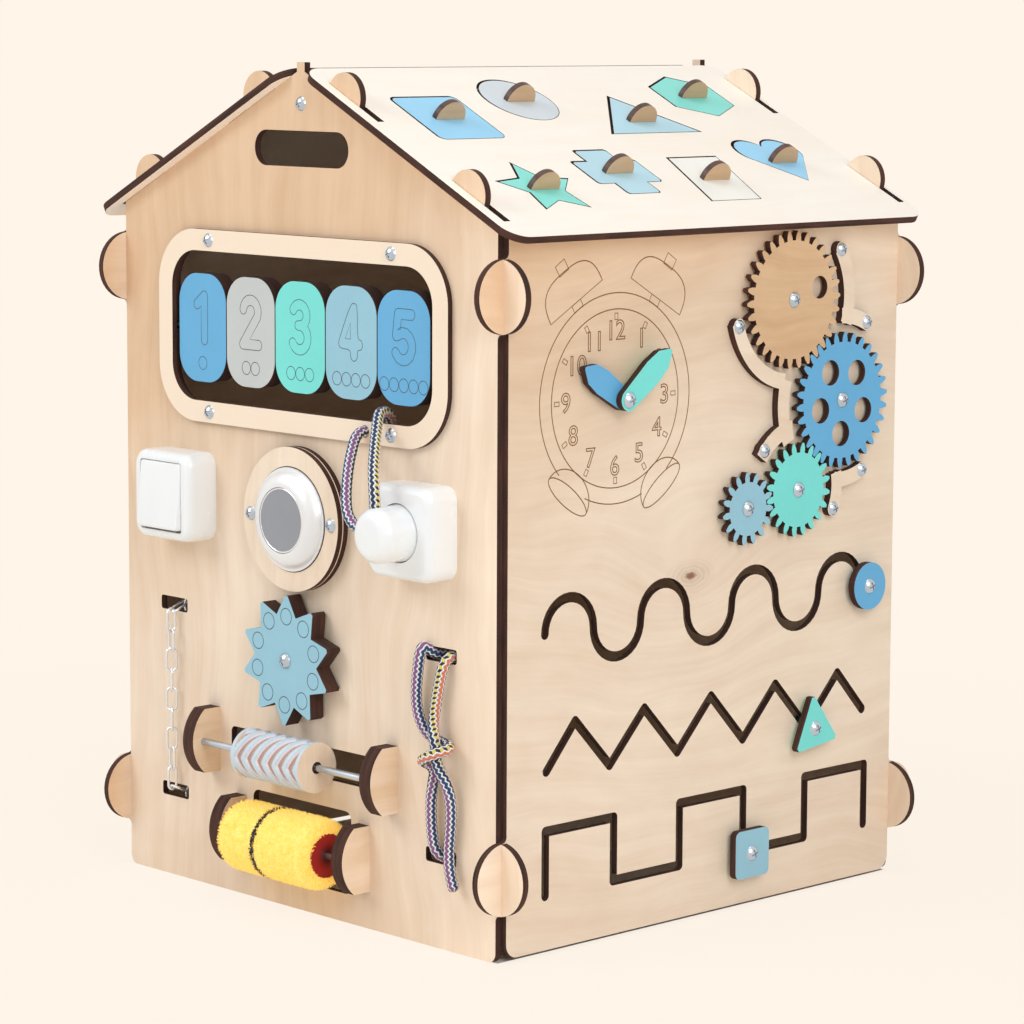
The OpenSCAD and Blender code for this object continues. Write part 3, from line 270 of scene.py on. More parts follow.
# Shader helpers
class Tree:
    """Adds nodes to a node tree and links them."""

    def __init__(self, tree):
        self.tree = tree

    def add(self, kind, values=None, **settings):
        """A new node with its settings, and its inputs set or linked."""
        node = self.tree.nodes.new("ShaderNode" + kind)
        for key, value in settings.items():
            setattr(node, key, value)
        for key, value in (values or {}).items():
            self.put(node.inputs[key], value)
        return node

    def put(self, socket, value):
        """Links a socket to another one, or sets its value."""
        if isinstance(value, bpy.types.NodeSocket):
            self.tree.links.new(value, socket)
        else:
            socket.default_value = value

    def math(self, operation, *values, clamp=False):
        """Output of a Math node."""
        return self.add("Math", dict(enumerate(values)), operation=operation, use_clamp=clamp).outputs[0]

    scaled = partialmethod(math, "MULTIPLY_ADD")
    times = partialmethod(math, "MULTIPLY")
    plus = partialmethod(math, "ADD")
    minus = partialmethod(math, "SUBTRACT")
    size = partialmethod(math, "ABSOLUTE")
    above = partialmethod(math, "GREATER_THAN")
    below = partialmethod(math, "LESS_THAN")
    larger = partialmethod(math, "MAXIMUM")

    def vector(self, operation, *values, output=0):
        """Output of a Vector Math node."""
        return self.add("VectorMath", dict(enumerate(values)), operation=operation).outputs[output]

    def dot(self, vector, axis):
        """Length of a vector along an axis."""
        return self.vector("DOT_PRODUCT", vector, axis, output="Value")

    def length(self, vector):
        """Length of a vector."""
        return self.vector("LENGTH", vector, output="Value")

    def stretch(self, vector, scale):
        """A vector times a scale on each axis."""
        return self.vector("MULTIPLY", vector, scale)

    def part(self, vector, axis):
        """One of a vector's three values."""
        return self.add("SeparateXYZ", {0: vector}).outputs[axis]

    def mix(self, factor, first, second, blend="MIX"):
        """A colour between two others."""
        values = {0: factor, 6: first, 7: second}
        return self.add("Mix", values, data_type="RGBA", blend_type=blend).outputs[2]

    def darken(self, factor, colour):
        """A colour times a grey value."""
        grey = self.add("CombineColor", {0: factor, 1: factor, 2: factor}).outputs[0]
        return self.mix(1.0, colour, grey, "MULTIPLY")

    def ramp(self, factor, stops, interpolation="LINEAR"):
        """Colour at a factor, from pairs of a position and a screen colour."""
        node = self.add("ValToRGB", {0: factor})
        node.color_ramp.interpolation = interpolation
        while len(node.color_ramp.elements) < len(stops):
            node.color_ramp.elements.new(0.5)
        for element, (position, colour) in zip(node.color_ramp.elements, stops):
            element.position, element.color = position, linear(colour)
        return node.outputs[0]

    def noise(self, vector, scale=1.0, detail=2.0, roughness=0.5):
        """Value of a noise texture."""
        values = {"Vector": vector, "Scale": scale, "Detail": detail, "Roughness": roughness}
        return self.add("TexNoise", values).outputs[0]

    def spread(self, value, low, high, to_low=0.0, to_high=1.0):
        """A value moved from one range into another, and held there."""
        values = {0: value, 1: low, 2: high, 3: to_low, 4: to_high}
        return self.add("MapRange", values, clamp=True).outputs[0]

    def group(self, name, vector):
        """Outputs of a placed node group, fed with a vector."""
        node = self.add("Group", node_tree=bpy.data.node_groups[name])
        self.put(node.inputs["Vector"], vector)
        return node.outputs

    def place(self):
        """Place on the object, in metres."""
        return self.add("TexCoord").outputs["Object"]

    def along(self, place, across, grain):
        """Place on a board: along the grain, across it and through the board."""
        axes = (grain, across.cross(grain), across)
        return self.add("CombineXYZ", {k: self.dot(place, axis) for k, axis in enumerate(axes)}).outputs[0]

    def about(self, axle):
        """Place from the middle of a roller, and distance from its axle."""
        place = self.vector("SUBTRACT", self.place(), axle)
        return place, self.length(self.stretch(place, (0.0, 1.0, 1.0)))


def new_group(name, outputs):
    """A shader node group with a Vector input and value outputs."""
    group = bpy.data.node_groups.new(name, "ShaderNodeTree")
    group.interface.new_socket("Vector", in_out="INPUT", socket_type="NodeSocketVector")
    for output in outputs:
        group.interface.new_socket(output, in_out="OUTPUT", socket_type="NodeSocketFloat")
    tree = Tree(group)
    start = group.nodes.new("NodeGroupInput").outputs["Vector"]
    end = group.nodes.new("NodeGroupOutput")
    return tree, start, end


def birch_group():
    """Birch grain: the vector runs along the grain, across it and through the board, in metres."""
    tree, place, end = new_group("Birch grain", ["Tone", "Height"])
    sway = tree.noise(tree.stretch(place, (4.0, 5.0, 5.0)))
    shift = tree.add("CombineXYZ", {1: tree.times(tree.minus(sway, 0.5), 0.09)}).outputs[0]
    bent = tree.vector("ADD", place, shift)
    clouds = tree.noise(tree.stretch(bent, (5.0, 16.0, 16.0)), detail=4.0, roughness=0.55)
    streaks = tree.noise(tree.stretch(bent, (10.0, 260.0, 260.0)), detail=4.0, roughness=0.6)
    pores = tree.noise(tree.stretch(bent, (55.0, 1300.0, 1300.0)), detail=1.0)
    phase = tree.scaled(tree.part(bent, 1), 310.0, tree.times(clouds, 10.0))
    rings = tree.scaled(tree.math("SINE", phase), 0.5, 0.5)
    figure = tree.noise(tree.stretch(bent, (30.0, 55.0, 55.0)), detail=3.0)
    tone = tree.scaled(streaks, 0.24, tree.times(clouds, 0.5))
    tone = tree.scaled(figure, 0.2, tree.scaled(rings, 0.05, tone))
    specks = tree.spread(pores, 0.62, 0.74)
    tone = tree.scaled(specks, -0.1, tree.spread(tone, 0.36, 0.64))
    tree.put(end.inputs["Tone"], tree.larger(tone, 0.0))
    tree.put(end.inputs["Height"], tree.scaled(specks, -0.6, streaks))


def char_group():
    """Laser-cut edge: burnt plies that lie across the board."""
    tree, place, end = new_group("Laser char", ["Tone"])
    soot = tree.noise(tree.stretch(place, (40.0, 40.0, 260.0)), detail=3.0)
    plies = tree.noise(tree.stretch(place, (3.0, 3.0, 900.0)), detail=1.0)
    tone = tree.scaled(soot, 0.6, tree.times(plies, 0.4))
    tree.put(end.inputs["Tone"], tree.spread(tone, 0.35, 0.65))


def wear_group():
    """Handling: slow cloudy change, fine speckle and a fine uneven surface."""
    tree, place, end = new_group("Handling", ["Cloud", "Speckle", "Height"])
    cloud = tree.noise(place, scale=28.0, detail=3.0)
    speckle = tree.noise(place, scale=900.0)
    tree.put(end.inputs["Cloud"], tree.spread(cloud, 0.3, 0.7))
    tree.put(end.inputs["Speckle"], tree.spread(speckle, 0.3, 0.7))
    tree.put(end.inputs["Height"], tree.scaled(speckle, 0.7, tree.times(cloud, 0.3)))


def new_material(name):
    """A material, its tree and its shader."""
    material = bpy.data.materials.new(name)
    material.use_nodes = True
    tree = Tree(material.node_tree)
    return material, tree, material.node_tree.nodes["Principled BSDF"]


def bump(tree, shader, height, strength, distance):
    """Sends a height to the shader's normal."""
    values = {"Height": height, "Strength": strength, "Distance": distance}
    tree.put(shader.inputs["Normal"], tree.add("Bump", values).outputs[0])


def set_look(tree, shader, colour, rough):
    """Sends a colour and a roughness to the shader."""
    tree.put(shader.inputs["Base Color"], colour)
    tree.put(shader.inputs["Roughness"], rough)


def charred(tree, place, colours):
    """Colour of an edge that the laser cut."""
    return tree.mix(tree.group("Laser char", place)["Tone"], linear(colours.char_dark), linear(colours.char))


# Share of light that the darker and the paler parts of a board give back: partly the veneer's own tone,
# partly painted shade on the darker part and painted light on the paler part
WARM_VENEER_AND_SHADE, PALE_VENEER_AND_LIGHT = (0.88, 0.75, 0.62, 1.0), (1.14, 1.15, 1.16, 1.0)
# A face of a board looks at least this much along the board's normal
FACE_LIMIT = 0.6
# A cut edge is this much rougher than a face
CHAR_ROUGHER = 0.85
# Half the width of the pale joint between two stacked boards
SEAM_HALF = 0.35 * MM
# Share of light that the puzzle's grips give back
GRIP_SHADE = 0.88


def board_material(name, across, grain, light, dark, colours, seed=0.0, paint=None, knot=None, seam=None,
                   tints_and_light=()):
    """A laser-cut board: grain or paint on its two faces, char on its edges."""
    material, tree, shader = new_material(name)
    coords = tree.add("TexCoord").outputs
    place = tree.along(coords["Object"], across, grain)
    apart = tree.vector("ADD", place, (seed, seed * 1.7, 0.0))
    if knot:
        apart = bend_round_knot(tree, apart, place, knot)
    birch = tree.group("Birch grain", apart)
    face = tree.above(tree.size(tree.dot(coords["Normal"], across)), FACE_LIMIT)
    if paint:
        wear = tree.group("Handling", place)
        shade = tree.scaled(wear["Speckle"], 0.04, tree.scaled(wear["Cloud"], 0.05, 0.93))
        surface = tree.darken(shade, linear(paint))
        gloss = tree.scaled(wear["Cloud"], 0.1, 0.38)
    else:
        surface = tree.mix(birch["Tone"], linear(dark), linear(light))
        gloss = tree.scaled(birch["Tone"], -0.08, 0.56)
    # Each tone darkens or lightens a stretch of the board: partly veneer, partly painted shade and painted
    # light
    for tint_and_light, toward, start, stop, drift in tints_and_light:
        far = tree.scaled(tree.noise(place, scale=7.0), 2 * drift, tree.dot(coords["Object"], toward))
        surface = tree.mix(tree.spread(far, start + drift, stop + drift), surface, tint_and_light, "MULTIPLY")
    if knot:
        heart, halo = knot_marks(tree, place, knot)
        surface = tree.mix(halo, surface, linear(colours.engraved))
        surface = tree.mix(heart, surface, linear(colours.knot))
    edge = charred(tree, place, colours)
    if seam is not None:
        gap = tree.size(tree.minus(tree.part(place, 2), seam))
        edge = tree.mix(tree.below(gap, SEAM_HALF), edge, linear(light))
    rough = tree.scaled(face, -CHAR_ROUGHER, tree.plus(gloss, CHAR_ROUGHER), clamp=True)
    set_look(tree, shader, tree.mix(face, edge, surface), rough)
    bump(tree, shader, birch["Height"], 0.12 if paint else 0.2, 0.25 * MM)
    return material


def from_knot(tree, place, knot, squash):
    """Distance from a knot, which is given by its place along and across the grain."""
    gap = tree.vector("SUBTRACT", place, (*knot, 0.0))
    return tree.length(tree.stretch(gap, (squash, 1.0, 0.0)))


def bend_round_knot(tree, apart, place, knot):
    """Grain that parts round a knot."""
    push = tree.times(tree.math("EXPONENT", tree.times(from_knot(tree, place, knot, 0.6), -28.0)), 0.05)
    return tree.vector("ADD", apart, tree.add("CombineXYZ", {1: push}).outputs[0])


def knot_marks(tree, place, knot):
    """Masks of a knot's dark heart and of the faint rings round it."""
    ragged = tree.scaled(tree.noise(place, scale=220.0), 2.4 * MM, from_knot(tree, place, knot, 0.5))
    heart = tree.spread(ragged, 2.6 * MM, 4.6 * MM, 0.9, 0.0)
    bands = tree.scaled(tree.math("SINE", tree.times(ragged, 2600.0)), 0.5, 0.5)
    fade = tree.spread(ragged, 3.0 * MM, 15 * MM, 0.34, 0.0)
    return heart, tree.times(fade, tree.scaled(bands, 0.6, 0.4))


def puzzle_material(name, paint, colours):
    """A puzzle piece: painted top, charred sides, and a wooden grip that stands on it."""
    material, tree, shader = new_material(name)
    coords = tree.add("TexCoord").outputs
    place, normal = coords["Object"], coords["Normal"]
    grain = tree.group("Birch grain", tree.along(place, ROOF_DOWN, DEPTH))
    wear = tree.group("Handling", place)
    height = tree.minus(tree.dot(place, ROOF_UP), APEX_Z * math.cos(ROOF_PITCH))
    grip = tree.above(height, BOARD + 0.1 * MM)
    top = tree.above(tree.dot(normal, ROOF_UP), FACE_LIMIT)
    flat = tree.above(tree.size(tree.dot(normal, ROOF_DOWN)), 0.7)
    edge = charred(tree, tree.along(place, ROOF_UP, DEPTH), colours)
    painted = tree.mix(top, edge, tree.darken(tree.scaled(wear["Cloud"], 0.06, 0.93), linear(paint)))
    wood = tree.mix(grain["Tone"], linear(colours.batten_dark), linear(colours.batten))
    held = tree.mix(flat, edge, tree.darken(GRIP_SHADE, wood))
    set_look(tree, shader, tree.mix(grip, painted, held), tree.scaled(wear["Cloud"], 0.12, 0.42))
    bump(tree, shader, wear["Height"], 0.15, 0.2 * MM)
    return material


def smooth_material(name, colour, roughness, metallic=0.0, coat=0.0, vary=0.05):
    """Moulded plastic or metal with faint marks of handling."""
    material, tree, shader = new_material(name)
    wear = tree.group("Handling", tree.place())
    shade = tree.scaled(wear["Cloud"], vary, 1.0 - vary)
    rough = tree.scaled(wear["Cloud"], 0.06, tree.scaled(wear["Speckle"], 0.01, roughness))
    set_look(tree, shader, tree.darken(shade, linear(colour)), rough)
    shader.inputs["Metallic"].default_value = metallic
    shader.inputs["Coat Weight"].default_value = coat
    return material


def line_material(name, colour):
    """A burnt or scored line, or a line of painted shade, darker here and there; made once."""
    if name in bpy.data.materials:
        return bpy.data.materials[name]
    material, tree, shader = new_material(name)
    speckle = tree.group("Handling", tree.place())["Speckle"]
    shade = tree.scaled(speckle, 0.4, 0.65)
    set_look(tree, shader, tree.darken(shade, linear(colour)), tree.scaled(speckle, 0.2, 0.7))
    return material


# Braid: coloured columns that zigzag along the cord, with white between them
BRAID_WHITE = srgb(242, 240, 238)
BRAID_BLACK = srgb(36, 34, 40)
BRAID_COLOURS = [srgb(38, 66, 112), srgb(138, 86, 136), BRAID_BLACK, srgb(216, 124, 94), srgb(224, 200, 84),
                 srgb(30, 48, 84)]
BRAID_COLUMNS = len(BRAID_COLOURS)
BRAID_SPLIT_COLUMN = 4
BRAID_SWAY, BRAID_HALF, BRAID_BULGE = 0.2, 0.33, 0.35


def braid_material(sizes):
    """Braided cord: zigzag columns of coloured stitches between white ones, with painted shade where the
    stitches dip.
    """
    material, tree, shader = new_material("braided cord")
    uv = tree.add("UVMap", uv_map="UVMap").outputs[0]
    stitch = tree.math("DIVIDE", tree.part(uv, 1), sizes.braid_step)
    sway = tree.minus(tree.math("PINGPONG", stitch, 1.0), 0.5)
    column = tree.scaled(tree.part(uv, 0), float(BRAID_COLUMNS), tree.times(sway, 2 * BRAID_SWAY))
    beside = tree.size(tree.minus(tree.math("FRACT", column), 0.5))
    which = tree.math("FLOORED_MODULO", tree.math("FLOOR", column), float(BRAID_COLUMNS))
    stops = [(k / BRAID_COLUMNS, colour) for k, colour in enumerate(BRAID_COLOURS)]
    dyed = tree.ramp(tree.math("DIVIDE", tree.plus(which, 0.5), float(BRAID_COLUMNS)), stops, "CONSTANT")
    odd = tree.above(tree.math("FLOORED_MODULO", stitch, 2.0), 1.0)
    split = tree.math("COMPARE", which, float(BRAID_SPLIT_COLUMN), 0.1)
    yarn = tree.mix(tree.times(odd, split), dyed, linear(BRAID_BLACK))
    white = tree.spread(beside, BRAID_HALF - 0.02, BRAID_HALF + 0.02)
    yarn = tree.mix(white, yarn, linear(BRAID_WHITE))
    wave = tree.math("SINE", tree.times(tree.scaled(white, 0.5, stitch), math.pi))
    bulge = tree.math("POWER", tree.size(wave), BRAID_BULGE)
    seam = tree.spread(tree.size(tree.minus(beside, BRAID_HALF)), 0.0, 0.09)
    height = tree.times(bulge, tree.math("POWER", seam, 0.5))
    fibre = tree.noise(tree.place(), scale=1500.0)
    # Darker where the stitches dip and where columns meet: painted shade, on top of fine random fibre tone
    shade = tree.scaled(height, 0.4, tree.scaled(fibre, 0.2, 0.52))
    set_look(tree, shader, tree.darken(shade, yarn), tree.scaled(fibre, 0.2, 0.7))
    shader.inputs["Sheen Weight"].default_value = 0.2
    bump(tree, shader, tree.scaled(fibre, 0.3, height), 0.5, 0.4 * MM)
    return material


def stitch_height(column, stitch):
    """Height of the braid, 0 to 1, by column round the cord and stitch along it."""
    sway = abs((stitch + 1) % 2 - 1) - 0.5
    beside = abs((column + 2 * BRAID_SWAY * sway) % 1 - 0.5)
    white = beside > BRAID_HALF
    bulge = abs(math.sin((stitch + 0.5 * white) * math.pi)) ** BRAID_BULGE
    return bulge * min(1.0, abs(beside - BRAID_HALF) / 0.12) ** 0.5


def show(name, data):
    """A new object in the scene."""
    made = bpy.data.objects.new(name, data)
    bpy.context.scene.collection.objects.link(made)
    return made


def finish_piece(name, bm, material, body, sharp=40.0):
    """Makes an object of a bmesh, shades it and lets it ride on a body."""
    for face in bm.faces:
        face.smooth = True
    for edge in bm.edges:
        edge.smooth = edge.calc_face_angle(0.0) < math.radians(sharp)
    mesh = new_mesh(name, bm)
    mesh.materials.append(material)
    piece = show(name, mesh)
    if body:
        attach(piece, body)
    return piece


def new_mesh(name, bm):
    """A mesh made of a bmesh, which is freed."""
    mesh = bpy.data.meshes.new(name)
    bm.to_mesh(mesh)
    bm.free()
    return mesh


def dress(material, *nodes):
    """Gives CAD nodes a material."""
    for name in nodes:
        mesh = frame["nodes"][name].data
        mesh.materials.clear()
        mesh.materials.append(material)


# Cords
def smooth_route(route, step):
    """Points about one step apart on a smooth curve through a route."""
    points = [on_front(*p) for p in route]
    ends = [points[0], *points, points[-1]]
    fine = [points[0]]
    for before, start, end, after in zip(ends, points, points[1:], ends[3:] + [points[-1]]):
        handles = start + (end - before) / 6, end - (after - start) / 6
        fine += interpolate_bezier(start, *handles, end, 24)[1:]
    marks = [0.0]
    for a, b in zip(fine, fine[1:]):
        marks.append(marks[-1] + (b - a).length)
    count = max(2, round(marks[-1] / step))
    even, k = [], 0
    for i in range(count + 1):
        want = marks[-1] * i / count
        while k < len(fine) - 2 and marks[k + 1] < want:
            k += 1
        even.append(fine[k].lerp(fine[k + 1], (want - marks[k]) / max(marks[k + 1] - marks[k], 1e-9)))
    return even, marks[-1]


def braided_tube(points, length, sizes, look):
    """A tube along points with raised stitches, closed at its ends; look turns its columns to the camera."""
    sides, rings = 36, len(points) - 1
    bm = bmesh.new()
    uv = bm.loops.layers.uv.new("UVMap")
    bmesh.ops.create_grid(bm, x_segments=sides, y_segments=rings, size=1.0, calc_uvs=True)
    headings = [(b - a).normalized() for a, b in zip([points[0], *points], [*points[1:], points[-1]])]
    start = UP if abs(headings[0].z) < 0.9 else SIDE
    dirs = []
    for heading in headings:
        start = (start - heading * start.dot(heading)).normalized()
        dirs.append(start)
    sign, *faced = look
    turns = []
    for column, share in faced:
        k = round(rings * share)
        toward = math.atan2(VIEW.dot(headings[k].cross(dirs[k])), VIEW.dot(dirs[k]))
        turns.append(toward - sign * 2 * math.pi * column / BRAID_COLUMNS)
    first, last = faced[0][1], faced[-1][1]
    twist = (turns[-1] - turns[0] + math.pi) % (2 * math.pi) - math.pi
    radius = sizes.cord_thickness / 2
    for vert in bm.verts:
        around = (vert.co.x + 1) / 2
        k = round((vert.co.y + 1) / 2 * rings)
        run = length * k / rings
        raised = stitch_height(around * BRAID_COLUMNS, run / sizes.braid_step)
        to_end = max(0.0, min(run, length - run) / (0.7 * radius))
        taper = math.sqrt(max(0.0, 1 - (1 - to_end) ** 2)) if to_end < 1 else 1.0
        wound = twist * min(1.0, max(0.0, (k / rings - first) / (last - first)))
        angle = sign * 2 * math.pi * around + turns[0] + wound
        out = dirs[k] * math.cos(angle) + headings[k].cross(dirs[k]) * math.sin(angle)
        vert.co = points[k] + out * radius * (0.9 + 0.1 * raised) * max(taper, 0.25)
    for face in bm.faces:
        for loop in face.loops:
            loop[uv].uv.y *= length
    bmesh.ops.remove_doubles(bm, verts=bm.verts, dist=1e-6)
    bmesh.ops.holes_fill(bm, edges=[e for e in bm.edges if e.is_boundary], sides=0)
    bmesh.ops.recalc_face_normals(bm, faces=bm.faces)
    return bm


class HOUSE_OT_cords(Operator):
    """Braided laces and the braided cord of the plug"""

    bl_idname = "activity_house.cords"
    bl_label = "Cords"

    def execute(self, context):
        sizes = context.scene.house_sizes
        braid = braid_material(sizes)
        plan = [("plug_cord_braid", PLUG_ROUTE, None, "object", "plug_cord", (-1, (5.15, 0.15), (1.5, 0.75))),
                ("left_lace_braid", LEFT_LACE_ROUTE, "house", "object", "lacing_cord",
                 (1, (1.0, 0.33), (1.0, 0.75))),
                ("right_lace_braid", RIGHT_LACE_ROUTE, "house", "bare", "lacing_cord",
                 (1, (4.0, 0.3), (1.0, 0.65)))]
        for name, route, body, far_end, node, look in plan:
            points, length = smooth_route(route, 0.5 * MM)
            bm = braided_tube(points, length, sizes, look)
            piece = finish_piece(name, bm, braid, body, sharp=70)
            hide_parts(node)
            if not body:
                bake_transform(piece)
        return {"FINISHED"}


class HOUSE_OT_stage(Operator):
    """Camera at the photograph's angle, soft lamps, pale floor and backdrop"""

    bl_idname = "activity_house.stage"
    bl_label = "Stage"

    def execute(self, context):
        scene = context.scene
        scene.view_settings.view_transform = "Standard"
        set_camera(scene)
        backdrop = linear(scene.house_colours.backdrop)
        set_world(scene, backdrop)
        for name, (place, width, power) in LAMPS.items():
            lamp(name, Vector(place), width, power)
        floor = make_floor(backdrop)
        return {"FINISHED"}


def set_camera(scene):
    """The photograph's camera."""
    level = UP.cross(VIEW).normalized()
    upright = VIEW.cross(level)
    right = level * math.cos(ROLL) + upright * math.sin(ROLL)
    top = upright * math.cos(ROLL) - level * math.sin(ROLL)
    data = bpy.data.cameras.new("camera")
    data.lens, data.sensor_width = CAMERA_LENS, CAMERA_SENSOR
    data.shift_x, data.shift_y = CAMERA_SHIFT
    data.clip_start, data.clip_end = 0.05, 100.0
    scene.camera = show("camera", data)
    turn = Matrix((right, top, VIEW)).transposed().to_4x4()
    scene.camera.matrix_world = Matrix.Translation(CAMERA_AT) @ turn


def set_world(scene, backdrop):
    """Cream where the camera or a reflection looks, soft white light on everything else."""
    world = scene.world or bpy.data.worlds.new("world")
    scene.world = world
    world.use_nodes = True
    world.node_tree.nodes.clear()
    tree = Tree(world.node_tree)
    path = tree.add("LightPath").outputs
    seen = tree.larger(path["Is Camera Ray"], path["Is Glossy Ray"])
    seen = tree.larger(seen, path["Is Transmission Ray"])
    shown = tree.add("Background", {0: backdrop, 1: 1.0})
    light = tree.add("Background", {0: (*DAYLIGHT, 1.0), 1: SKY_LIGHT})
    both = tree.add("MixShader", {0: seen, 1: light.outputs[0], 2: shown.outputs[0]})
    tree.add("OutputWorld", {0: both.outputs[0]})


def lamp(name, place, width, power):
    """A soft square lamp."""
    data = bpy.data.lights.new(name, "AREA")
    data.size, data.energy, data.color = width, power, DAYLIGHT
    light = show(name, data)
    light.location = place
    light.rotation_euler = (LAMP_AIM - place).to_track_quat("-Z", "Y").to_euler()


def make_floor(backdrop):
    """A pale floor that keeps a soft shadow."""
    material, tree, shader = new_material("floor")
    set_look(tree, shader, backdrop, 0.9)
    glow = tree.add("Emission", {0: backdrop, 1: 1.0})
    path = tree.add("LightPath").outputs
    seen = tree.larger(path["Is Camera Ray"], path["Is Glossy Ray"])
    place = tree.place()
    beside = tree.size(tree.part(place, 0))
    behind = tree.size(tree.minus(tree.part(place, 1), MID_Y))
    outside = tree.above(tree.larger(beside, behind), RIGHT_X - BOARD)
    fade = tree.spread(tree.length(place), 0.3, 1.0, 0.9, 1.0)
    share = tree.times(fade, tree.times(seen, outside))
    both = tree.add("MixShader", {0: share, 1: shader.outputs[0], 2: glow.outputs[0]})
    tree.put(material.node_tree.nodes["Material Output"].inputs[0], both.outputs[0])
    bm = bmesh.new()
    bmesh.ops.create_grid(bm, x_segments=1, y_segments=1, size=FLOOR_HALF)
    mesh = new_mesh("floor", bm)
    mesh.materials.append(material)
    return show("floor", mesh)


class HOUSE_OT_boards(Operator):
    """Birch on the walls, the roof, the frame, the rings, the brackets and the guards"""

    bl_idname = "activity_house.boards"
    bl_label = "Boards"

    def execute(self, context):
        c = context.scene.house_colours
        wall, roof, batten = (c.birch, c.birch_dark), (c.roof, c.roof_dark), (c.birch, c.batten)
        left_up = Vector((-ROOF_UP.x, 0, ROOF_UP.z))
        # A tone: the veneer's share of light, partly its own colour and partly painted shade and painted
        # light, the way it grows, where it starts and stops, and how far it wanders, in metres
        front_ears = ((0, -1, 0), 0.178, 0.2, 0.004)
        gable = {"tints_and_light": [(WARM_VENEER_AND_SHADE, (-0.6, 0, 1), 0.27, 0.46, 0.06),
                           (PALE_VENEER_AND_LIGHT, (1, 0, 0), 0.12, 0.21, 0.01)]}
        gears = {"tints_and_light": [(WARM_VENEER_AND_SHADE, (0, -0.6, 1), 0.32, 0.57, 0.06), (PALE_VENEER_AND_LIGHT, *front_ears)],
                 "knot": (MID_Y - 19.5 * MM, 240.5 * MM)}
        left = {"tints_and_light": [(WARM_VENEER_AND_SHADE, *front_ears)]}
        rings = {"seam": middle_of("light_rings").y}
        for name, node, across, grain, colours, seed, more in (
                ("front gable birch", "front_panel", DEPTH, UP, wall, 0.13, gable),
                ("back gable birch", "back_panel", DEPTH, UP, wall, 0.71, {}),
                ("gear wall birch", "right_panel", SIDE, DEPTH, wall, 0.37, gears),
                ("left wall birch", "left_panel", SIDE, DEPTH, wall, 1.19, left),
                ("roof birch", "right_roof", ROOF_UP, DEPTH, roof, 0.5, {}),
                ("left roof birch", "left_roof", left_up, DEPTH, roof, 0.9, {}),
                ("puzzle backing birch", "puzzle_base", ROOF_UP, DEPTH, wall, 0.2, {}),
                ("frame birch", "window_frame", DEPTH, SIDE, (c.frame, c.birch), 0.6, {}),
                ("ring birch", "light_rings", DEPTH, UP, wall, 0.8, rings),
                ("guard birch", "gear_guards", SIDE, DEPTH, wall, 0.4, {}),
                ("gear birch", "gear_wood", SIDE, DEPTH, (c.gear_wood, c.gear_wood_dark), 0.95, {}),
                ("bracket wood", "axle_brackets", SIDE, DEPTH, batten, 0.3, {}),
                ("ridge wood", "ridge_bar", UP, DEPTH, batten, 0.3, {}),
                ("keeper wood", "rod_keepers", DEPTH, UP, batten, 0.3, {})):
            dress(board_material(name, across, grain, *colours, c, seed=seed, **more), node)
        return {"FINISHED"}


class HOUSE_OT_painted(Operator):
    """Paint on the tiles, the star, the gears, the clock hands and the sliding knobs"""

    bl_idname = "activity_house.painted"
    bl_label = "Painted pieces"

    def execute(self, context):
        c = context.scene.house_colours
        walls = {"front": (DEPTH, UP), "gear wall": (SIDE, DEPTH)}
        for name, paint, wall, nodes in (
                ("blue", c.blue, "front", ["number_tile_1", "number_tile_5"]),
                ("grey", c.grey, "front", ["number_tile_2"]),
                ("mint", c.mint, "front", ["number_tile_3"]),
                ("pale blue", c.pale_blue, "front", ["number_tile_4", "star_spinner"]),
                ("blue", c.blue, "gear wall", ["gear_blue", "hour_hand", "slider_round"]),
                ("mint", c.mint, "gear wall", ["gear_green", "minute_hand", "slider_triangle"]),
                ("pale blue", c.pale_blue, "gear wall", ["gear_small", "slider_square"])):
            title = f"{name} paint, {wall}"
            dress(board_material(title, *walls[wall], c.birch, c.birch_dark, c, paint=paint), *nodes)
        return {"FINISHED"}


class HOUSE_OT_puzzle(Operator):
    """Paint and wooden grips of the eight roof puzzle pieces"""

    bl_idname = "activity_house.puzzle"
    bl_label = "Roof puzzle"

    def execute(self, context):
        c = context.scene.house_colours
        # The roof paints are lit copies of the wall paints: painted light from above
        lit_paints = {"blue": (c.lit_puzzle_blue, ["puzzle_square", "puzzle_heart"]),
                "pale blue": (c.lit_puzzle_pale_blue, ["puzzle_triangle", "puzzle_cross"]),
                "mint": (c.lit_puzzle_mint, ["puzzle_hexagon", "puzzle_star"]),
                "grey": (c.lit_puzzle_grey, ["puzzle_circle"]),
                "white": (c.white, ["puzzle_lozenge"])}
        for name, (paint, nodes) in lit_paints.items():
            dress(puzzle_material(f"puzzle {name}", paint, c), *nodes)
        return {"FINISHED"}


class HOUSE_OT_hardware(Operator):
    """Zinc, steel and plastic of the screws, bolts, chain, rods and inner parts"""

    bl_idname = "activity_house.hardware"
    bl_label = "Hardware"

    def execute(self, context):
        c = context.scene.house_colours
        zinc = smooth_material("zinc", c.steel, 0.2, metallic=1.0, vary=0.15)
        dress(zinc, "panel_screws", "pivot_bolts", "pivot_spacers", "slider_bolt_round",
              "slider_bolt_triangle", "slider_bolt_square", "plug_pins")
        dress(smooth_material("bright chain", c.silver, 0.22, metallic=0.75, vary=0.1), "chain")
        dress(smooth_material("steel rod", c.steel, 0.26, metallic=1.0, vary=0.2), "axle_rods", "number_rod")
        dress(smooth_material("circuit board", c.white_plastic, 0.4), "light_board")
        return {"FINISHED"}


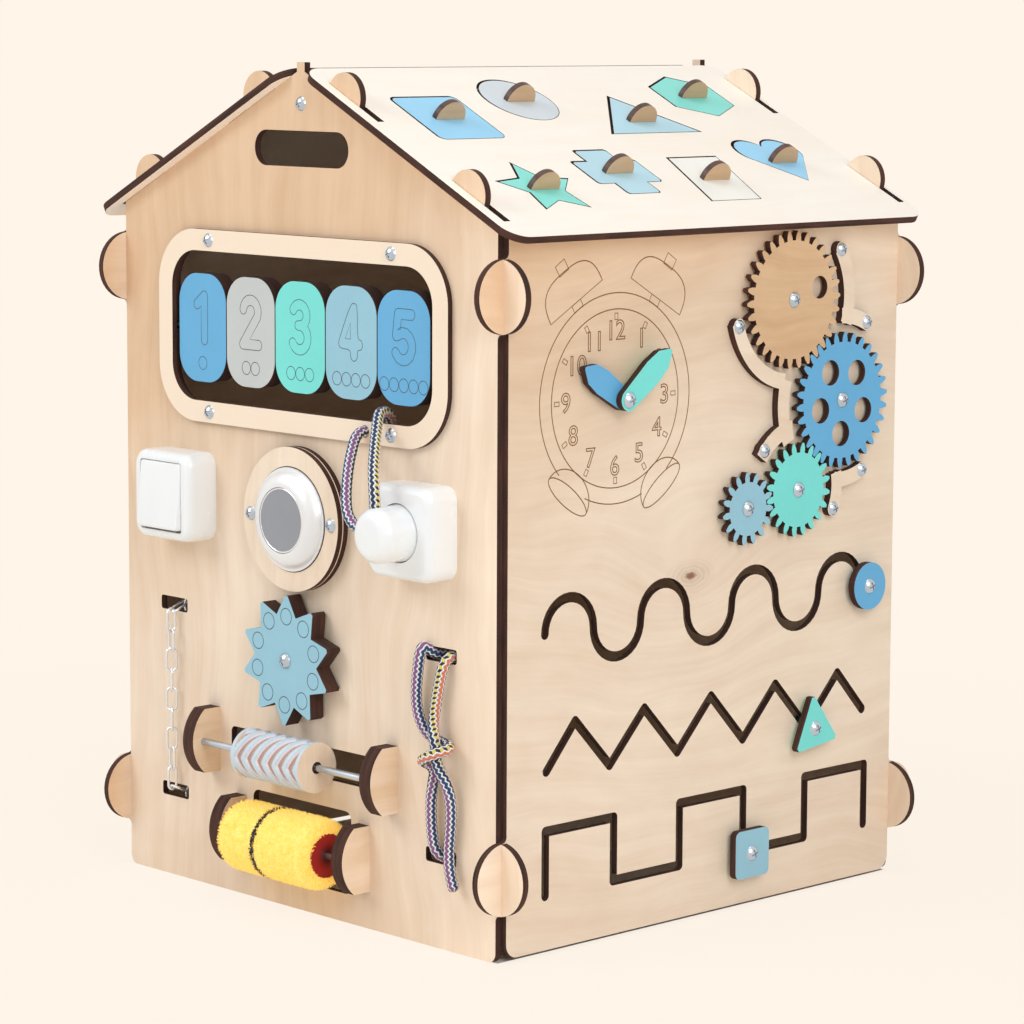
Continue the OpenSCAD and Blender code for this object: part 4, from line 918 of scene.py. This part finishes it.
# Engraving
def stroke_outline(path, half):
    """Outline of a stroke along flat points: mitred inside each turn, round outside it and at both ends."""
    def side_of(points):
        outline = []
        for k, point in enumerate(points):
            before = (point - points[k - 1]).normalized() if k else (points[1] - point).normalized()
            after = (points[k + 1] - point).normalized() if k < len(points) - 1 else before
            n1, n2 = Vector((-before.y, before.x)), Vector((-after.y, after.x))
            turn = math.atan2(before.cross(after), before.dot(after))
            if turn > -0.25:
                outline.append(point + (n1 + n2) * half / (1 + n1.dot(n2)))
            else:
                outline += [point + Matrix.Rotation(turn * i / 6, 2) @ n1 * half for i in range(7)]
        end = (points[-1] - points[-2]).normalized()
        normal = Vector((-end.y, end.x))
        cap = [Matrix.Rotation(-math.pi * i / 8, 2) @ normal * half for i in range(1, 8)]
        return outline + [points[-1] + spoke for spoke in cap]

    return side_of(path) + side_of(path[::-1])


def cut_corners(outline, passes=2):
    """A closed outline with its corners cut off again and again, until they look round."""
    for _ in range(passes):
        ends = zip(outline, outline[1:] + outline[:1])
        outline = [p for a, b in ends for p in (a.lerp(b, 0.25), a.lerp(b, 0.75))]
    return outline


def engraved(name, outlines, width, place, material, body, slot, texts=()):
    """Closed or open lines and outlined words drawn on a wall, as one flat mesh that lies on it."""
    bm = bmesh.new()
    flat = Matrix.Diagonal((1, 1, 0.3, 1))
    data = bpy.data.curves.new(name, "CURVE")
    data.dimensions, data.bevel_depth, data.bevel_resolution = "3D", width / 2, 1
    for points, closed in outlines:
        spline = data.splines.new("POLY")
        spline.points.add(len(points) - 1)
        spline.use_cyclic_u = closed
        for spot, point in zip(spline.points, points):
            spot.co = (point[0] * MM, point[1] * MM, 0, 1)
    add_curve(bm, data, flat)
    for text, (x, y), height in texts:
        data = bpy.data.curves.new(name, "FONT")
        data.body, data.size, data.fill_mode = text, height * 1.37, "NONE"
        data.align_x, data.align_y = "CENTER", "CENTER"
        data.bevel_depth, data.bevel_resolution = width / 2, 1
        add_curve(bm, data, Matrix.Translation((x * MM, y * MM, 0)) @ flat)
    bmesh.ops.transform(bm, matrix=place, verts=bm.verts)
    return finish_piece(name, bm, material, body)


def add_curve(bm, data, move):
    """Adds a curve's mesh to a bmesh."""
    carrier = bpy.data.objects.new(data.name, data)
    mesh = bpy.data.meshes.new_from_object(carrier)
    mesh.transform(move)
    bm.from_mesh(mesh)
    bpy.data.objects.remove(carrier)
    bpy.data.meshes.remove(mesh)
    bpy.data.curves.remove(data)


def turned_box(x, y, width, height, angle):
    """Corners of a rectangle turned about its middle."""
    turn = Matrix.Rotation(math.radians(angle), 2)
    corners = ((-width, -height), (width, -height), (width, height), (-width, height))
    return [Vector((x, y)) + turn @ (Vector(p) / 2) for p in corners]


def square_up(point, half_width, height):
    """A point of a unit circle moved out to a loaf shape with full shoulders."""
    stretch = (abs(point.x) ** 2.9 + abs(point.y) ** 2.9) ** (-1 / 2.9)
    return Vector((point.x * stretch * half_width, point.y * stretch * height))


class HOUSE_OT_clock_face(Operator):
    """Alarm clock drawing burnt into the gear wall"""

    bl_idname = "activity_house.clock_face"
    bl_label = "Clock face"

    def execute(self, context):
        sizes, colours = settings(context)
        case = (*CLOCK, CASE_RADIUS, CASE_RADIUS)
        lines = [(ring(*CLOCK, DIAL_RADIUS, 96), True), (arc(*case, -46, 222, 80), False),
                 (arc(*case, 246, 291, 24), False)]
        for k in range(12):
            angle = math.radians(30 * k)
            spot = CLOCK + Vector((math.sin(angle), math.cos(angle))) * TICK_RADIUS
            lines.append((turned_box(*spot, 2.8, 4.2, -30 * k), True))
        for flip in (-1, 1):
            lines += self.bell(flip)
            lines += self.foot(flip)
        texts = [(text, place, sizes.numeral_height) for text, place in NUMERAL_PLACES.items()]
        burnt = line_material("engraved line", colours.engraved)
        engraved("clock_face_lines", lines, sizes.line_width, ON_RIGHT, burnt, "house", "birch_ply", texts)
        return {"FINISHED"}

    def bell(self, flip):
        """A bell, its knob and its stem, drawn for one side."""
        middle = Vector((CLOCK.x + flip * 37, 433.5))
        turn = Matrix.Rotation(math.radians(-30 * flip), 2)
        dome = [middle + turn @ square_up(p, 27.1, 23.6) for p in arc(0, 0, 1, 1, 0, 180, 32)]
        return [(dome, True),
                (turned_box(CLOCK.x + flip * 50.7, 456.5, 9.5, 8, -32 * flip), True),
                (turned_box(CLOCK.x + flip * 36.3, 431, 9, 5, -30 * flip), True)]

    def foot(self, flip):
        """A round foot seen at a slant, drawn for one side."""
        middle = Vector((CLOCK.x + flip * 44.5, 305.5))
        turn = Matrix.Rotation(math.radians(37 * flip), 2)
        rim = [middle + turn @ p for p in arc(0, 0, 21.5, 6.5, 0, 360, 36)[:-1]]
        cup = [middle + turn @ p for p in arc(0, 0, 21.5, 17, 0, 180, 24)]
        return [(rim, True), (cup, False)]


class HOUSE_OT_tile_marks(Operator):
    """Outlined numbers and counting circles on the five tiles"""

    bl_idname = "activity_house.tile_marks"
    bl_label = "Tile marks"

    def execute(self, context):
        sizes, colours = settings(context)
        scored = line_material("scored line", colours.scored)
        for number in range(1, 6):
            middle = middle_of(f"number_tile_{number}")
            place = front_drawing(middle.x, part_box(f"number_tile_{number}")[0].y, middle.z)
            if number in TILE_NUMBERS:
                outlines = [stroke_outline(TILE_NUMBERS[number], sizes.number_stroke / MM / 2)]
            else:
                outlines = {3: [THREE_OUTLINE], 4: [cut_corners(FOUR_OUTSIDE), FOUR_INSIDE]}[number]
            lines = [([p + Vector((0, 7)) for p in outline], True) for outline in outlines]
            dot = sizes.dot_width / MM
            for k in range(number):
                x = (k - (number - 1) / 2) * (dot + 0.5)
                lines.append((ring(x, -25, dot / 2, 32), True))
            engraved(f"tile_{number}_marks", lines, 0.7 * sizes.line_width, place, scored, f"tile_{number}",
                     "blue_paint")
        return {"FINISHED"}


class HOUSE_OT_star_rings(Operator):
    """Circles scored near the ten points of the star"""

    bl_idname = "activity_house.star_rings"
    bl_label = "Star rings"

    def execute(self, context):
        sizes, colours = settings(context)
        hub_x, hub_z, hub_to_ring = -2 * MM, 178 * MM, 31
        place = front_drawing(hub_x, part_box("star_spinner")[0].y, hub_z)
        middles = arc(0, 0, hub_to_ring, hub_to_ring, 88, 412, 9)
        rings = [(ring(*spot, sizes.star_ring / MM / 2, 36), True) for spot in middles]
        scored = line_material("scored line", colours.scored)
        engraved("star_rings", rings, 0.8 * sizes.line_width, place, scored, "star", "pale_blue_paint")
        return {"FINISHED"}


# Turned pieces
def lathe(profile, place, steps=64):
    """A solid turned about Z from a profile of radii and heights in metres, and then placed."""
    bm = bmesh.new()
    spots = [bm.verts.new((r, 0, z)) for r, z in profile]
    edges = [bm.edges.new(pair) for pair in zip(spots, spots[1:])]
    bmesh.ops.spin(bm, geom=spots + edges, cent=(0, 0, 0), axis=(0, 0, 1), angle=2 * math.pi, steps=steps,
                   use_merge=True)
    bmesh.ops.remove_doubles(bm, verts=bm.verts, dist=1e-7)
    bmesh.ops.recalc_face_normals(bm, faces=bm.faces)
    bmesh.ops.transform(bm, matrix=place, verts=bm.verts)
    return bm


def round_profile(centre, radius, start, end, steps=6):
    """Profile points on an arc, in metres."""
    angles = [math.radians(start + (end - start) * k / steps) for k in range(steps + 1)]
    return [(centre[0] + radius * math.cos(a), centre[1] + radius * math.sin(a)) for a in angles]


def lay_along(bm, axle):
    """Turns a lathed piece to lie along X, and moves it to its axle."""
    turn = Matrix.Rotation(math.pi / 2, 4, "Y")
    bmesh.ops.transform(bm, matrix=Matrix.Translation(axle) @ turn, verts=bm.verts)


class HOUSE_OT_spool(Operator):
    """Striped spool with zigzag ridges"""

    bl_idname = "activity_house.spool"
    bl_label = "Spool"

    def execute(self, context):
        axle = middle_of("spool")
        low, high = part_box("spool_bands")
        length, outer = high.x - low.x, (high.z - low.z) / 2
        bore, steps, rows = 2.55 * MM, 96, 180
        side = [(outer, -length / 2 + length * k / rows) for k in range(rows + 1)]
        profile = [(bore, -length / 2), *side, (bore, length / 2), (bore, -length / 2)]
        bm = lathe(profile, Matrix.Identity(4), steps)
        groove, swing, step, rim = 3.0 * MM, 6.5 * MM, 11 * MM, 3 * MM
        ridge, flank = 0.36, 0.18
        for vert in bm.verts:
            away = math.hypot(vert.co.x, vert.co.y)
            if away < bore + 1e-5 or abs(vert.co.z) > length / 2 - rim:
                continue
            angle = math.atan2(vert.co.y, vert.co.x) + math.pi / 2
            zigzag = swing * (2 / math.pi) * math.asin(math.cos(2 * angle))
            phase = ((vert.co.z + zigzag) / step) % 1.0
            depth = min(1.0, max(0.0, (abs(phase - 0.5) * 2 - ridge) / flank))
            vert.co.xy *= (outer - groove * depth) / away
        lay_along(bm, axle)
        paint = spool_material(context.scene.house_colours, axle, outer, groove)
        piece = finish_piece("spool_zigzag", bm, paint, "spool_roll", sharp=50)
        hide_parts("spool", "spool_bands")
        return {"FINISHED"}


# Spool colours from the floor of a groove to the top of a ridge: pinkish bare wood darkened by painted shade
# on the floor, a painted highlight on the flanks, pale blue paint on the ridge
SPOOL_PAINT_SHADE_AND_HIGHLIGHT = ((0.0, srgb(198, 162, 150)), (0.2, srgb(206, 172, 162)), (0.35, srgb(250, 236, 240)),
                (0.9, srgb(204, 219, 228)))


def spool_material(c, axle, outer, groove):
    """Pale blue ridges, flanks made pale by a painted highlight and pinkish floors darkened by painted shade,
    with wooden ends.
    """
    material, tree, shader = new_material("spool")
    coords = tree.add("TexCoord").outputs
    place, away = tree.about(axle)
    wear = tree.group("Handling", place)
    birch = tree.group("Birch grain", tree.along(coords["Object"], SIDE, UP))
    # Colour by depth: painted shade in the groove floors, a painted highlight on the flanks, paint on the
    # ridges
    layers = tree.ramp(tree.spread(away, outer - groove, outer), SPOOL_PAINT_SHADE_AND_HIGHLIGHT)
    painted = tree.darken(tree.scaled(wear["Cloud"], 0.08, 0.92), layers)
    wood = tree.mix(birch["Tone"], linear(c.birch_dark), linear(c.birch))
    wood = tree.mix(tree.below(away, 4.2 * MM), wood, linear(c.char_dark))
    end = tree.above(tree.size(tree.dot(coords["Normal"], SIDE)), 0.95)
    set_look(tree, shader, tree.mix(end, painted, wood), tree.scaled(wear["Cloud"], 0.1, 0.4))
    bump(tree, shader, wear["Height"], 0.15, 0.2 * MM)
    return material


class HOUSE_OT_fluffy_roller(Operator):
    """Yellow nap of the fluffy roller: a lumpy pile, and tufts that stand out of it"""

    bl_idname = "activity_house.fluffy_roller"
    bl_label = "Fluffy roller"

    def execute(self, context):
        sizes, c = settings(context)
        low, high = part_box("roller_sleeve")
        axle = (low + high) / 2
        length, outer = high.x - low.x, (high.z - low.z) / 2
        root = outer - sizes.nap_length
        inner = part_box("roller_core")[1].z - axle.z + 0.1 * MM
        droop, spread = 8 * MM, 2 * MM
        bend = [(inner + (root - inner) * math.cos(a), length / 2 - spread - droop + droop * math.sin(a))
                for a in (math.radians(9 * k) for k in range(11))]
        bm = self.pile(bend)
        chance = random.Random(7)
        kinds = [self.tuft_row(chance, root, 0.0, sizes.nap_count, sizes) for _ in range(12)]
        for k in range(sizes.nap_rows):
            along = ((k + 0.5) / sizes.nap_rows - 0.5) * (length - 2 * droop - 2 * spread)
            self.add_row(bm, kinds[k % len(kinds)], along, chance)
        for mesh in kinds:
            bpy.data.meshes.remove(mesh)
        for k, (radius, height) in enumerate(bend[1:]):
            for side in (-1, 1):
                count = round(sizes.nap_count * radius / root)
                mesh = self.tuft_row(chance, radius, side * math.radians(7 * k), count, sizes)
                self.add_row(bm, mesh, side * height, chance)
                bpy.data.meshes.remove(mesh)
        lay_along(bm, axle)
        yarn = nap_material(c, axle, root, outer, length)
        piece = finish_piece("roller_nap", bm, yarn, "fluffy_roll", sharp=80)
        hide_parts("roller_sleeve")
        dress(core_material(c, axle), "roller_core")
        return {"FINISHED"}

    def pile(self, bend):
        """The matted part of the nap: a sleeve with drooping ends and a lumpy surface."""
        inner, end = bend[-1]
        root, start = bend[0]
        rows = 130
        side = [(root, start - 2 * start * k / rows) for k in range(1, rows)]
        profile = [*bend[::-1], *side, *[(r, -z) for r, z in bend], (inner, end)]
        bm = lathe(profile, Matrix.Identity(4), 220)
        for vert in bm.verts:
            away = vert.co.xy.length
            if away > inner + 0.5 * MM:
                lump = 0.9 * noise.noise(vert.co * 260) + 0.6 * noise.noise(vert.co * 800)
                vert.co.xy *= 1 + (0.6 + lump) * MM / away
        return bm

    def add_row(self, bm, row, along, chance):
        """Adds a ring of tufts, turned by chance, at a place along the roller."""
        mesh = row.copy()
        spin = Matrix.Rotation(chance.uniform(0, 2 * math.pi), 4, "Z")
        mesh.transform(Matrix.Translation((0, 0, along)) @ spin)
        bm.from_mesh(mesh)
        bpy.data.meshes.remove(mesh)

    def tuft_row(self, chance, radius, tilt, count, sizes):
        """One ring of tufts, each a thin three-sided cone that leans its own way."""
        bm = bmesh.new()
        foot = Matrix.Translation((radius - 0.3 * MM, 0, 0))
        out = Matrix.Rotation(math.pi / 2, 4, "Y")
        for k in range(count):
            angle = 2 * math.pi * (k + chance.uniform(-0.4, 0.4)) / count
            height = sizes.nap_length * chance.uniform(0.75, 1.05)
            lean = Matrix.Rotation(chance.uniform(-0.6, 0.6), 4, "X")
            sway = Matrix.Rotation(chance.uniform(-0.6, 0.6) - tilt, 4, "Y")
            shift = Matrix.Translation((0, 0, chance.uniform(-0.7, 0.7) * MM))
            raised = Matrix.Translation((0, 0, height / 2))
            place = Matrix.Rotation(angle, 4, "Z") @ shift @ (foot @ lean @ sway @ out @ raised)
            bmesh.ops.create_cone(bm, segments=3, radius1=0.5 * MM, radius2=0.16 * MM, depth=height,
                                  matrix=place)
        return new_mesh("tuft_row", bm)


def nap_material(c, axle, root, outer, length):
    """Light yellow yarn with a painted glow, an emission that stands in for light getting through it, and
    deeper yellow roots as painted shade, with two ragged dark rings.
    """
    material, tree, shader = new_material("yellow nap")
    place, away = tree.about(axle)
    # Tips lighter than roots: painted shade down in the pile, mixed with random clumps
    tips = tree.spread(away, root - 0.5 * MM, outer - 1.0 * MM)
    clump = tree.noise(place, scale=260.0, detail=3.0)
    tone = tree.scaled(tree.spread(clump, 0.3, 0.7), 0.6, tree.times(tips, 0.5), clamp=True)
    yellow = tree.mix(tone, linear(c.shaded_nap_root), linear(c.nap))
    stray = tree.scaled(tree.noise(place, scale=500.0), 6.0 * MM, tree.part(place, 0))
    middle = tree.below(tree.size(tree.plus(stray, 3.0 * MM)), 2.0 * MM)
    end = tree.below(stray, 4.5 * MM - length / 2)
    yarn = tree.mix(tree.larger(middle, end), yellow, linear(c.nap_stripe))
    set_look(tree, shader, yarn, tree.scaled(clump, 0.2, 0.75))
    # Painted glow: the yarn's own colour given off as a faint emission
    tree.put(shader.inputs["Emission Color"], yarn)
    shader.inputs["Emission Strength"].default_value = 0.2
    shader.inputs["Sheen Weight"].default_value = 0.3
    fibre = tree.noise(place, scale=1600.0)
    bump(tree, shader, tree.plus(clump, fibre), 0.4, 0.5 * MM)
    return material


def core_material(c, axle):
    """Red moulded end, darkened towards the rod by painted shade in the well round it."""
    material, tree, shader = new_material("red core")
    place, away = tree.about(axle)
    wear = tree.group("Handling", place)
    # Darker towards the rod: painted shade in the well, with a little random cloud
    depth = tree.scaled(wear["Cloud"], -0.15, tree.spread(away, 3.5 * MM, 9.5 * MM, 0.3, 1.0))
    set_look(tree, shader, tree.darken(depth, linear(c.core)), tree.scaled(wear["Speckle"], 0.1, 0.35))
    return material


# Switch, socket, plug and light
def box_loop(bm, half_x, half_y, corner, height):
    """A ring of points on a rounded rectangle, and its edges."""
    made = bmesh.ops.create_circle(bm, segments=48, radius=1.0)
    turn = Matrix.Rotation(math.pi / 48, 4, "Z")
    bmesh.ops.transform(bm, matrix=turn, verts=made["verts"])
    for vert in made["verts"]:
        x, y = vert.co.x, vert.co.y
        middle_x, middle_y = math.copysign(half_x - corner, x), math.copysign(half_y - corner, y)
        vert.co = (middle_x + corner * x, middle_y + corner * y, height)
    return list({e for v in made["verts"] for e in v.link_edges})


def moulded(name, bm, loops, place, colours, body, node):
    """Bridges rings of edges, closes both ends and lets the white piece stand for a CAD node."""
    for first, second in zip(loops, loops[1:]):
        bmesh.ops.bridge_loops(bm, edges=first + second)
    for loop in (loops[0], loops[-1]):
        bmesh.ops.contextual_create(bm, geom=loop)
    bmesh.ops.recalc_face_normals(bm, faces=bm.faces)
    bmesh.ops.transform(bm, matrix=place, verts=bm.verts)
    piece = finish_piece(name, bm, white_plastic(colours), body)
    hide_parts(node)


def front_size(node):
    """Half the width of a CAD node on the front, its depth and its middle."""
    low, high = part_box(node)
    return (high.x - low.x) / 2, high.y - low.y, (low + high) / 2


def rounded_box_loops(bm, half, depth, edge):
    """Rings of a box with a rounded front, from its back to the rim of its flat front."""
    corner = 10 * MM
    loops = [box_loop(bm, half, half, corner, 0.0), box_loop(bm, half, half, corner, depth - edge)]
    for k in range(1, 7):
        a = math.radians(15 * k)
        inset = edge * 0.75 * (1 - math.cos(a))
        side, height = half - inset, depth - edge + edge * math.sin(a)
        loops.append(box_loop(bm, side, side, corner - inset * 0.4, height))
    return loops


class HOUSE_OT_switch(Operator):
    """White surface switch and its rocker"""

    bl_idname = "activity_house.switch"
    bl_label = "Switch"

    def execute(self, context):
        sizes, c = settings(context)
        half, depth, middle = front_size("switch_base")
        place = front_drawing(middle.x, FRONT_Y, middle.z)
        bm = bmesh.new()
        loops = rounded_box_loops(bm, half, depth, sizes.box_edge)
        well_x, well_y = 23.2 * MM, 25 * MM
        for height in (depth + 0.01 * MM, depth - 17 * MM):
            loops.append(box_loop(bm, well_x, well_y, 2.2 * MM, height))
        moulded("switch_box", bm, loops, place, c, "house", "switch_base")
        self.rocker(depth, place, c)
        return {"FINISHED"}

    def rocker(self, depth, place, colours):
        """The rocker, tilted so that its lower end stands out."""
        bm = bmesh.new()
        half_x, half_y, edge, corner = 22.6 * MM, 23.8 * MM, 1.6 * MM, 2.4 * MM
        front = 9.5 * MM - edge
        loops = [box_loop(bm, half_x, half_y, corner, height) for height in (-4.5 * MM, front)]
        for k in range(1, 5):
            a = math.radians(22.5 * k)
            inset = edge * (1 - math.cos(a))
            loops.append(box_loop(bm, half_x - inset, half_y - inset, corner - inset * 0.5,
                                  front + edge * math.sin(a)))
        tilt = Matrix.Translation((0, 0, depth - 7 * MM)) @ Matrix.Rotation(math.radians(-5.5), 4, "X")
        moulded("switch_rocker_plate", bm, loops, place @ tilt, colours, "rocker", "switch_rocker")


def white_plastic(colours):
    """The white plastic, made once."""
    made = bpy.data.materials.get("white plastic")
    return made or smooth_material("white plastic", colours.white_plastic, 0.22, coat=0.3, vary=0.03)


class HOUSE_OT_socket(Operator):
    """White socket with a round recess, and the plug in it"""

    bl_idname = "activity_house.socket"
    bl_label = "Socket and plug"

    def execute(self, context):
        sizes, c = settings(context)
        half, depth, middle = front_size("socket_base")
        recess, floor, lip = 19.8 * MM, depth - 12 * MM, 0.5 * MM
        bm = bmesh.new()
        loops = rounded_box_loops(bm, half, depth, sizes.box_edge)
        for radius, height in ((recess + lip, depth), (recess, depth - lip), (recess, floor)):
            loops.append(box_loop(bm, radius, radius, radius, height))
        place = front_drawing(middle.x, FRONT_Y, middle.z)
        moulded("socket_box", bm, loops, place, c, "house", "socket_base")
        self.plug(white_plastic(c))
        return {"FINISHED"}

    def plug(self, plastic):
        """The plug: a round body with a domed front and a waist near the socket."""
        radius, depth, middle = front_size("plug_body")
        place = front_drawing(middle.x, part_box("plug_body")[1].y, middle.z)
        dome, waist = 9 * MM, radius - 0.5 * MM
        back = [(0, 0), (radius, 0.0), (radius, 11 * MM), (waist, 11.6 * MM), (waist, 13 * MM)]
        front = round_profile((radius - 0.3 * MM - dome, depth - dome), dome, 0, 90, 14)
        bm = lathe([*back, *front, (0, depth)], place, 48)
        piece = finish_piece("plug_dome", bm, plastic, "plug", sharp=50)
        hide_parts("plug_body")


class HOUSE_OT_push_light(Operator):
    """Silver bezel, grey button and its bright rim"""

    bl_idname = "activity_house.push_light"
    bl_label = "Push light"

    def execute(self, context):
        c = context.scene.house_colours
        dress(smooth_material("satin silver", c.silver, 0.3, metallic=0.55, vary=0.06), "light_bezel")
        dress(smooth_material("grey button", c.button, 0.3, coat=0.2, vary=0.06), "light_button")
        radius, _, middle = front_size("light_button")
        edge = front_size("light_bezel")[0]
        # A thin dark ring round the bezel: painted shade where the bezel meets the rings, on a flat ring that
        # lies on them
        inside, outside, top = edge + 0.02 * MM, edge + 0.7 * MM, 0.08 * MM
        line = [(inside, 0), (outside, 0), (outside, top), (inside, top), (inside, 0)]
        groove = line_material("bezel gap shade", c.char_dark)
        round_bezel = front_drawing(middle.x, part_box("light_rings")[0].y, middle.z)
        finish_piece("bezel_gap_shade", lathe(line, round_bezel), groove, "house")
        chrome = smooth_material("bright rim", c.silver, 0.12, metallic=1.0, vary=0.1)
        rim = round_profile((radius - 0.4 * MM, -0.4 * MM), 0.7 * MM, 0, 360, 16)
        place = front_drawing(middle.x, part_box("light_button")[0].y, middle.z)
        finish_piece("button_rim", lathe(rim, place), chrome, "button")
        return {"FINISHED"}


class HOUSE_PT_panel(Panel):
    """Steps that dress the activity house"""

    bl_idname = "HOUSE_PT_panel"
    bl_label = "Activity House"
    bl_space_type = "VIEW_3D"
    bl_region_type = "UI"
    bl_category = "Activity House"

    def draw(self, context):
        for step in STEPS:
            self.layout.operator(step.bl_idname)
        for group in (context.scene.house_sizes, context.scene.house_colours):
            box = self.layout.box()
            for name in group.__annotations__:
                box.prop(group, name)


STEPS = (HOUSE_OT_stage, HOUSE_OT_cords, HOUSE_OT_boards, HOUSE_OT_painted, HOUSE_OT_puzzle,
         HOUSE_OT_hardware, HOUSE_OT_clock_face, HOUSE_OT_tile_marks, HOUSE_OT_star_rings, HOUSE_OT_spool,
         HOUSE_OT_fluffy_roller, HOUSE_OT_switch, HOUSE_OT_socket, HOUSE_OT_push_light)
CLASSES = (HouseSizes, HouseColours, *STEPS, HOUSE_PT_panel)


def register():
    """Adds the classes and the scene's settings."""
    for cls in CLASSES:
        bpy.utils.register_class(cls)
    bpy.types.Scene.house_sizes = PointerProperty(type=HouseSizes)
    bpy.types.Scene.house_colours = PointerProperty(type=HouseColours)


def unregister():
    """Takes the classes and the scene's settings away again."""
    del bpy.types.Scene.house_colours
    del bpy.types.Scene.house_sizes
    for cls in reversed(CLASSES):
        bpy.utils.unregister_class(cls)


def main():
    """Dresses the whole house."""
    register()
    birch_group()
    char_group()
    wear_group()
    for step in STEPS:
        family, name = step.bl_idname.split(".")
        getattr(getattr(bpy.ops, family), name)()


if __name__ == "__main__":
    main()
